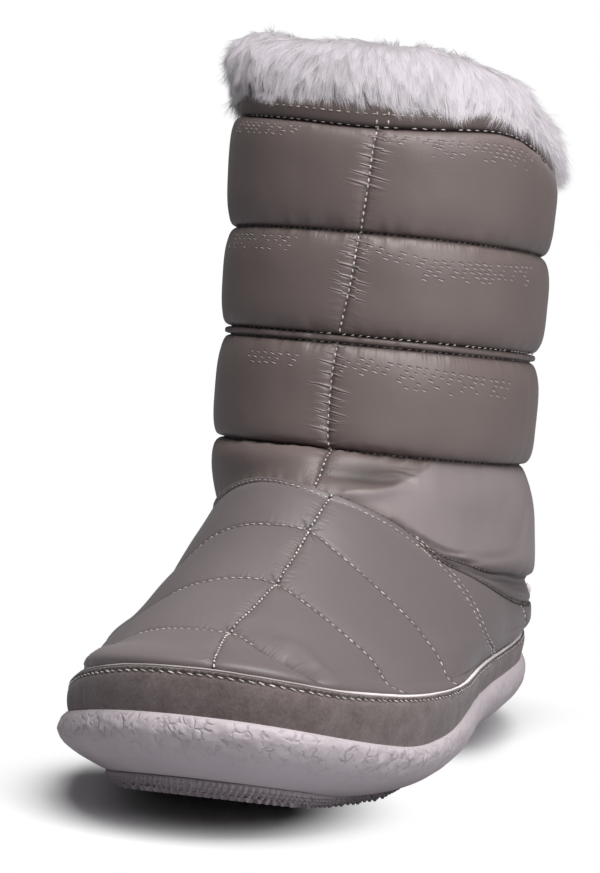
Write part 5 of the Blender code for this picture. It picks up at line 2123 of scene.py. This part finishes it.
@dataclass
class PlushCollar:
    """Deep plush collar: a soft ring of cloth covered in hairs that fall outwards and down."""

    inward: float = 14.0
    columns: int = 280
    sides: int = 48
    hair_width: float = 0.17
    tuft_mm: float = 3.6
    corner: float = 0.75       # 1 is an oval cross-section, less is squarer
    out_of_reach: float = 99.0

    def build_ring(self) -> bpy.types.Object:
        """Build the cloth ring, lumpy where the plush bunches, and comb it."""
        angle = columns_by_length(12.0, self.columns)
        side = signed(angle)
        base = FORM.points(LEVEL["collar_top"], angle)
        normal = FORM.plan_normal(base)
        turn = np.linspace(-np.pi, np.pi, self.sides + 1)
        noise = Unevenness(43)
        knots = np.array(PILE_RISE)
        stands, tall, low, slant = (np.interp(side, knots[:, 0], knots[:, column]) for column in range(1, 5))
        rows = []
        for t in turn:
            reach, rise = (np.sign(part) * np.abs(part) ** self.corner for part in (np.cos(t), np.sin(t)))
            out = (stands - self.inward) / 2.0 + (stands + self.inward) / 2.0 * reach
            out = out - slant * rise * max(reach, 0.0)
            points = base + normal * out[:, None]
            points[:, 2] += GAP + tall * (1.0 + rise) / 2.0 - low * max(reach, 0.0) * (0.5 - 0.5 * rise)
            rows.append(points)
        points = np.stack(rows)
        points[-1] = points[0]
        ahead, back = np.roll(points, -1, axis=1), np.roll(points, 1, axis=1)
        around = unit(ahead - back)
        across = np.gradient(points, axis=0)
        across[0] = across[-1] = points[1] - points[-2]
        facing = unit(np.cross(around, across))
        share = np.broadcast_to((turn / (2.0 * np.pi))[:, None], points.shape[:2])
        lumps = noise.lumps(points, (1.1, 15.0), (0.7, 7.0))
        for lump in PILE_LUMPS:
            middle = FORM.points(LEVEL["collar_top"], lump.angle)
            level_gap = np.linalg.norm(points[..., :2] - middle[:2], axis=-1)
            level_gap = np.where(np.abs(side - lump.angle) < 60.0, level_gap, self.out_of_reach)
            away = np.hypot(level_gap, points[..., 2] - middle[2] - lump.height)
            lumps = lumps + lump.raised * np.exp(-(away / lump.reach) ** 2)
        points = points + facing * lumps[..., None]
        piece = lay_grid("collar_plush_ring", points)
        outer = ease((np.cos(turn)[:, None] + 0.6) / 0.9)[..., None] * np.ones((1, len(angle), 1))
        upper = (0.5 + 0.5 * np.sin(turn))[:, None, None]
        fall = np.array([0.0, 0.0, -1.0]) * (1.0 - 0.5 * upper)
        swirl = 0.75 * noise.at(points + 90.0, 13.0)[..., None] * around
        sideways = np.broadcast_to(normal, points.shape)
        comb = facing * 0.10 + sideways * (0.55 * outer - 0.45 * (1.0 - outer)) + fall + swirl
        # The hairs lie close to the cloth: how far the comb points off it is kept between two limits.
        least, most = 0.22 - 0.14 * upper, 0.34 - 0.16 * upper
        comb = comb - facing * np.minimum((comb * facing).sum(-1, keepdims=True) - least, 0.0)
        comb = comb - facing * np.maximum((comb * facing).sum(-1, keepdims=True) - most, 0.0)
        paint_vector(piece, "comb", unit(comb).reshape(-1, 3))
        paint_vector(piece, "skin", facing.reshape(-1, 3))
        paint(piece, "long", 0.95 + 0.3 * noise.at(points + 200.0, 8.0) + 0.05 * np.maximum(low, 0.0))
        paint(piece, "round", share)
        paint(piece, "share", np.full(share.shape, 0.35))
        paint(piece, "tone", np.full(share.shape, 0.2))
        return piece

    @staticmethod
    def write_zone(nodes: Nodes, growth: PileGrowth) -> bpy.types.Node:
        """Pick the faces of one zone, which may run past the seam of the ring."""
        where = nodes.stored("round", "FLOAT")
        above, below, wrapped = (
            nodes.add("FunctionNodeCompare", {"data_type": "FLOAT", "operation": way}, {0: where, 1: limit})
            for way, limit in (("GREATER_THAN", growth.low), ("LESS_EQUAL", growth.high),
                               ("LESS_EQUAL", growth.high - 1.0)))
        inside = nodes.add("FunctionNodeBooleanMath", {"operation": "AND"}, {0: above, 1: below})
        return nodes.add("FunctionNodeBooleanMath", {"operation": "OR"}, {0: inside, 1: wrapped})

    @staticmethod
    def write_hair(nodes: Nodes) -> bpy.types.Node:
        """Draw one hair of unit length: a ribbon that narrows to its tip."""
        ribbon = nodes.add("GeometryNodeMeshGrid", inputs={
            "Size X": 1.0, "Size Y": 1.0, "Vertices X": 2, "Vertices Y": 3})
        across, along, _ = nodes.split(nodes.add("GeometryNodeInputPosition"))
        share = nodes.math("ADD", along, 0.5)
        narrow = nodes.math("MULTIPLY", across, nodes.ramp(share, 0.3, 1.0, 1.0, 0.15))
        marked = nodes.keep(ribbon.outputs["Mesh"], "share", share)
        return nodes.add("GeometryNodeSetPosition", inputs={
            "Geometry": marked, "Position": nodes.join(narrow, share)})

    def tree(self, growth: PileGrowth) -> bpy.types.NodeTree:
        """Write the tree that grows the hairs of one zone.

        Args:
            growth: the zone and its hairs.

        Returns:
            A tree with named inputs for density, length, width, droop and tuft size.
        """
        tree = bpy.data.node_groups.new(f"pile_{growth.zone.value}", "GeometryNodeTree")
        tree.interface.new_socket("Geometry", in_out="INPUT", socket_type="NodeSocketGeometry")
        sizes = ("Density", "Length", "Width", "Droop", "Tuft")
        for name in sizes:
            tree.interface.new_socket(name, in_out="INPUT", socket_type="NodeSocketFloat")
        tree.interface.new_socket("Geometry", in_out="OUTPUT", socket_type="NodeSocketGeometry")
        nodes = Nodes(tree)
        source = nodes.add("NodeGroupInput")
        density, length, width, droop, tuft = (source.outputs[name] for name in sizes)
        roots = nodes.add("GeometryNodeDistributePointsOnFaces", {"distribute_method": "RANDOM"}, {
            "Mesh": source.outputs["Geometry"], "Selection": self.write_zone(nodes, growth),
            "Density": density, "Seed": 61})
        way, face = (
            nodes.vector("ADD", nodes.stored(name), nodes.luck("FLOAT_VECTOR", (-far,) * 3, (far,) * 3, seed))
            for name, far, seed in (("comb", 0.2, 5), ("skin", 0.8, 6)))
        turn = nodes.add("FunctionNodeAxesToRotation", {"primary_axis": "Y", "secondary_axis": "Z"}, {
            0: way, 1: face})
        own = nodes.math("MULTIPLY", nodes.luck("FLOAT", 0.55, 1.12, 7), nodes.stored("long", "FLOAT"))
        size = nodes.join(width, nodes.math("MULTIPLY", own, length), 1.0)
        here = nodes.add("GeometryNodeInputPosition")
        middle = nodes.add("ShaderNodeTexVoronoi", {"feature": "F1"}, {
            "Vector": here, "Scale": tuft, "Randomness": 1.0}).outputs["Position"]
        to_middle = nodes.vector("SUBTRACT", middle, here)
        kept = nodes.keep(roots.outputs["Points"], "gather", to_middle, "FLOAT_VECTOR")
        toned = nodes.keep(kept, "tone", nodes.luck("FLOAT", 0.0, 1.0, 8))
        hairs = nodes.add("GeometryNodeInstanceOnPoints", inputs={
            "Points": toned, "Instance": self.write_hair(nodes), "Rotation": turn, "Scale": size})
        curve = nodes.math("POWER", nodes.stored("share", "FLOAT"), 1.7)
        drop = nodes.scaled((0.0, 0.0, -1.0), nodes.math("MULTIPLY", curve, droop))
        bunch = nodes.scaled(nodes.stored("gather"), nodes.math("MULTIPLY", curve, 0.6))
        nodes.finish(hairs, PILE.make(), smooth=True, offset=nodes.vector("ADD", drop, bunch))
        return tree

    def grow(self, ring: bpy.types.Object, growth: PileGrowth) -> bpy.types.Object:
        """Grow the hairs of one zone from the cloth ring.

        Args:
            ring: the combed cloth ring.
            growth: the zone and its hairs.

        Returns:
            The hairs as a plain mesh.
        """
        piece = link(bpy.data.objects.new(f"collar_pile_{growth.zone.value}", ring.data.copy()))
        modifier = piece.modifiers.new("pile", "NODES")
        modifier.node_group = self.tree(growth)
        values = {"Density": growth.density / MM**2, "Length": growth.length * MM,
                  "Width": self.hair_width * MM, "Droop": growth.droop * MM,
                  "Tuft": 1.0 / (self.tuft_mm * MM)}
        for item in modifier.node_group.interface.items_tree:
            if item.in_out == "INPUT" and item.name in values:
                modifier[item.identifier] = values[item.name]
        return settle(piece)

    def build(self) -> list[bpy.types.Object]:
        """Build and dress the collar."""
        ring = self.build_ring()
        pieces = [ring, *(self.grow(ring, growth) for growth in PILE_GROWTH)]
        for pile in pieces[1:]:
            pile.visible_shadow = False    # light filters through, so the hairs don't darken each other
        for piece in pieces:
            dress(piece, PILE.make())
        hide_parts("fur_collar")
        return pieces


# ---------------------------------------------------------------- studio


@dataclass
class Studio:
    """Camera, pale floor and soft lights."""

    turn: float = 19.2         # degrees from the front towards the big-toe side
    distance: float = 937.2
    height: float = 185.4
    aim_side: float = -7.7
    aim_height: float = 103.2
    roll: float = 2.3
    lens: float = 123.7
    centre: tuple[float, float] = (-0.8, -1.0)
    floor_half: float = 4000.0
    light_aim: float = 0.11    # height that the lights face, in metres

    def place_camera(self) -> None:
        """Stand the camera in front of the boot and aim it."""
        turn = math.radians(self.turn)
        side = np.array([math.cos(turn), math.sin(turn), 0.0])
        back = np.array([math.sin(turn), -math.cos(turn), 0.0])
        shift = np.array([*self.centre, 0.0])
        place = back * self.distance + np.array([0.0, 0.0, self.height]) + shift
        aim = side * self.aim_side + np.array([0.0, 0.0, self.aim_height]) + shift
        ahead = unit(aim - place)
        right = unit(np.cross(ahead, [0.0, 0.0, 1.0]))
        above = np.cross(right, ahead)
        roll = math.radians(self.roll)
        rolled_right = right * math.cos(roll) + above * math.sin(roll)
        rolled_above = above * math.cos(roll) - right * math.sin(roll)
        data = bpy.data.cameras.new("camera")
        data.lens = self.lens
        data.sensor_fit = "VERTICAL"
        data.sensor_height = 36.0
        data.clip_start = 0.05
        bpy.context.scene.camera = self.stand("camera", data, rolled_right, rolled_above, ahead, place * MM)

    @staticmethod
    def stand(name: str, data: bpy.types.ID, right: np.ndarray, above: np.ndarray, ahead: np.ndarray,
              place: Sequence[float]) -> bpy.types.Object:
        """Stand a camera or a light at a place in metres, looking ahead."""
        matrix = np.eye(4)
        matrix[:3, 0], matrix[:3, 1], matrix[:3, 2], matrix[:3, 3] = right, above, -ahead, place
        thing = link(bpy.data.objects.new(name, data))
        thing.matrix_world = Matrix(matrix.tolist())
        return thing

    def add_light(self, name: str, place: tuple[float, float, float], size: tuple[float, float],
                  watts: float) -> None:
        """Hang a soft white box that faces the boot.

        Args:
            name: the light's name.
            place: where it hangs, in metres.
            size: its width and height in metres.
            watts: its power.
        """
        data = bpy.data.lights.new(name, "AREA")
        data.shape = "RECTANGLE"
        data.size, data.size_y = size
        data.energy = watts
        to_boot = unit(np.array([0.0, 0.0, self.light_aim]) - np.array(place))
        across = unit(np.cross(to_boot, [0.0, 0.0, 1.0]))
        self.stand(name, data, across, np.cross(across, to_boot), to_boot, place)

    def lay_floor(self) -> None:
        """Lay a plain pale floor."""
        corners = np.array([[-1.0, -1.0, 0.0], [1.0, -1.0, 0.0], [1.0, 1.0, 0.0], [-1.0, 1.0, 0.0]])
        floor = lay_mesh("floor", corners * self.floor_half, np.array([[0, 1, 2, 3]]))
        floor.data.materials.append(SweepFloor().make())

    def fill_sky(self) -> None:
        """Surround the boot with even white light, and show plain white behind it."""
        world = bpy.data.worlds.new("studio_white")
        bpy.context.scene.world = world
        world.use_nodes = True
        nodes = Nodes(world.node_tree)
        soft = nodes.feed(nodes.tree.nodes["Background"], {"Color": linear("#FBFBFF"), "Strength": 0.10})
        plain = nodes.add("ShaderNodeBackground", inputs={"Color": (1.0, 1.0, 1.0, 1.0), "Strength": 1.0})
        camera = nodes.add("ShaderNodeLightPath").outputs["Is Camera Ray"]
        both = nodes.add("ShaderNodeMixShader", inputs={0: camera, 1: soft, 2: plain})
        nodes.feed(nodes.tree.nodes["World Output"], {"Surface": both})

    def build(self) -> None:
        """Set up the whole studio."""
        self.place_camera()
        self.lay_floor()
        self.fill_sky()
        self.add_light("key_right", (0.90, -0.57, 0.85), (1.0, 0.9), 9.9)
        self.add_light("low_right", (1.25, 0.25, 0.20), (0.5, 0.3), 0.6)
        self.add_light("top", (0.35, -0.45, 1.6), (1.2, 1.2), 27.5)
        settings = bpy.context.scene.view_settings
        settings.view_transform = "Standard"
        settings.look = "None"


def main() -> None:
    """Build the boot piece by piece, then the studio round it."""
    logging.basicConfig(level=logging.INFO, format="%(name)s: %(message)s")
    book = StitchBook()
    pieces = FoamSole().build() + Footbed().build()
    for part in (FoxingBand, Upper, Shaft, CollarStrip):
        pieces += part().build(book)
    pieces += PlushCollar().build() + book.build()
    for piece in pieces:
        log.info("%s: %d faces", piece.name, len(piece.data.polygons))
    Studio().build()


if __name__ == "__main__":
    main()
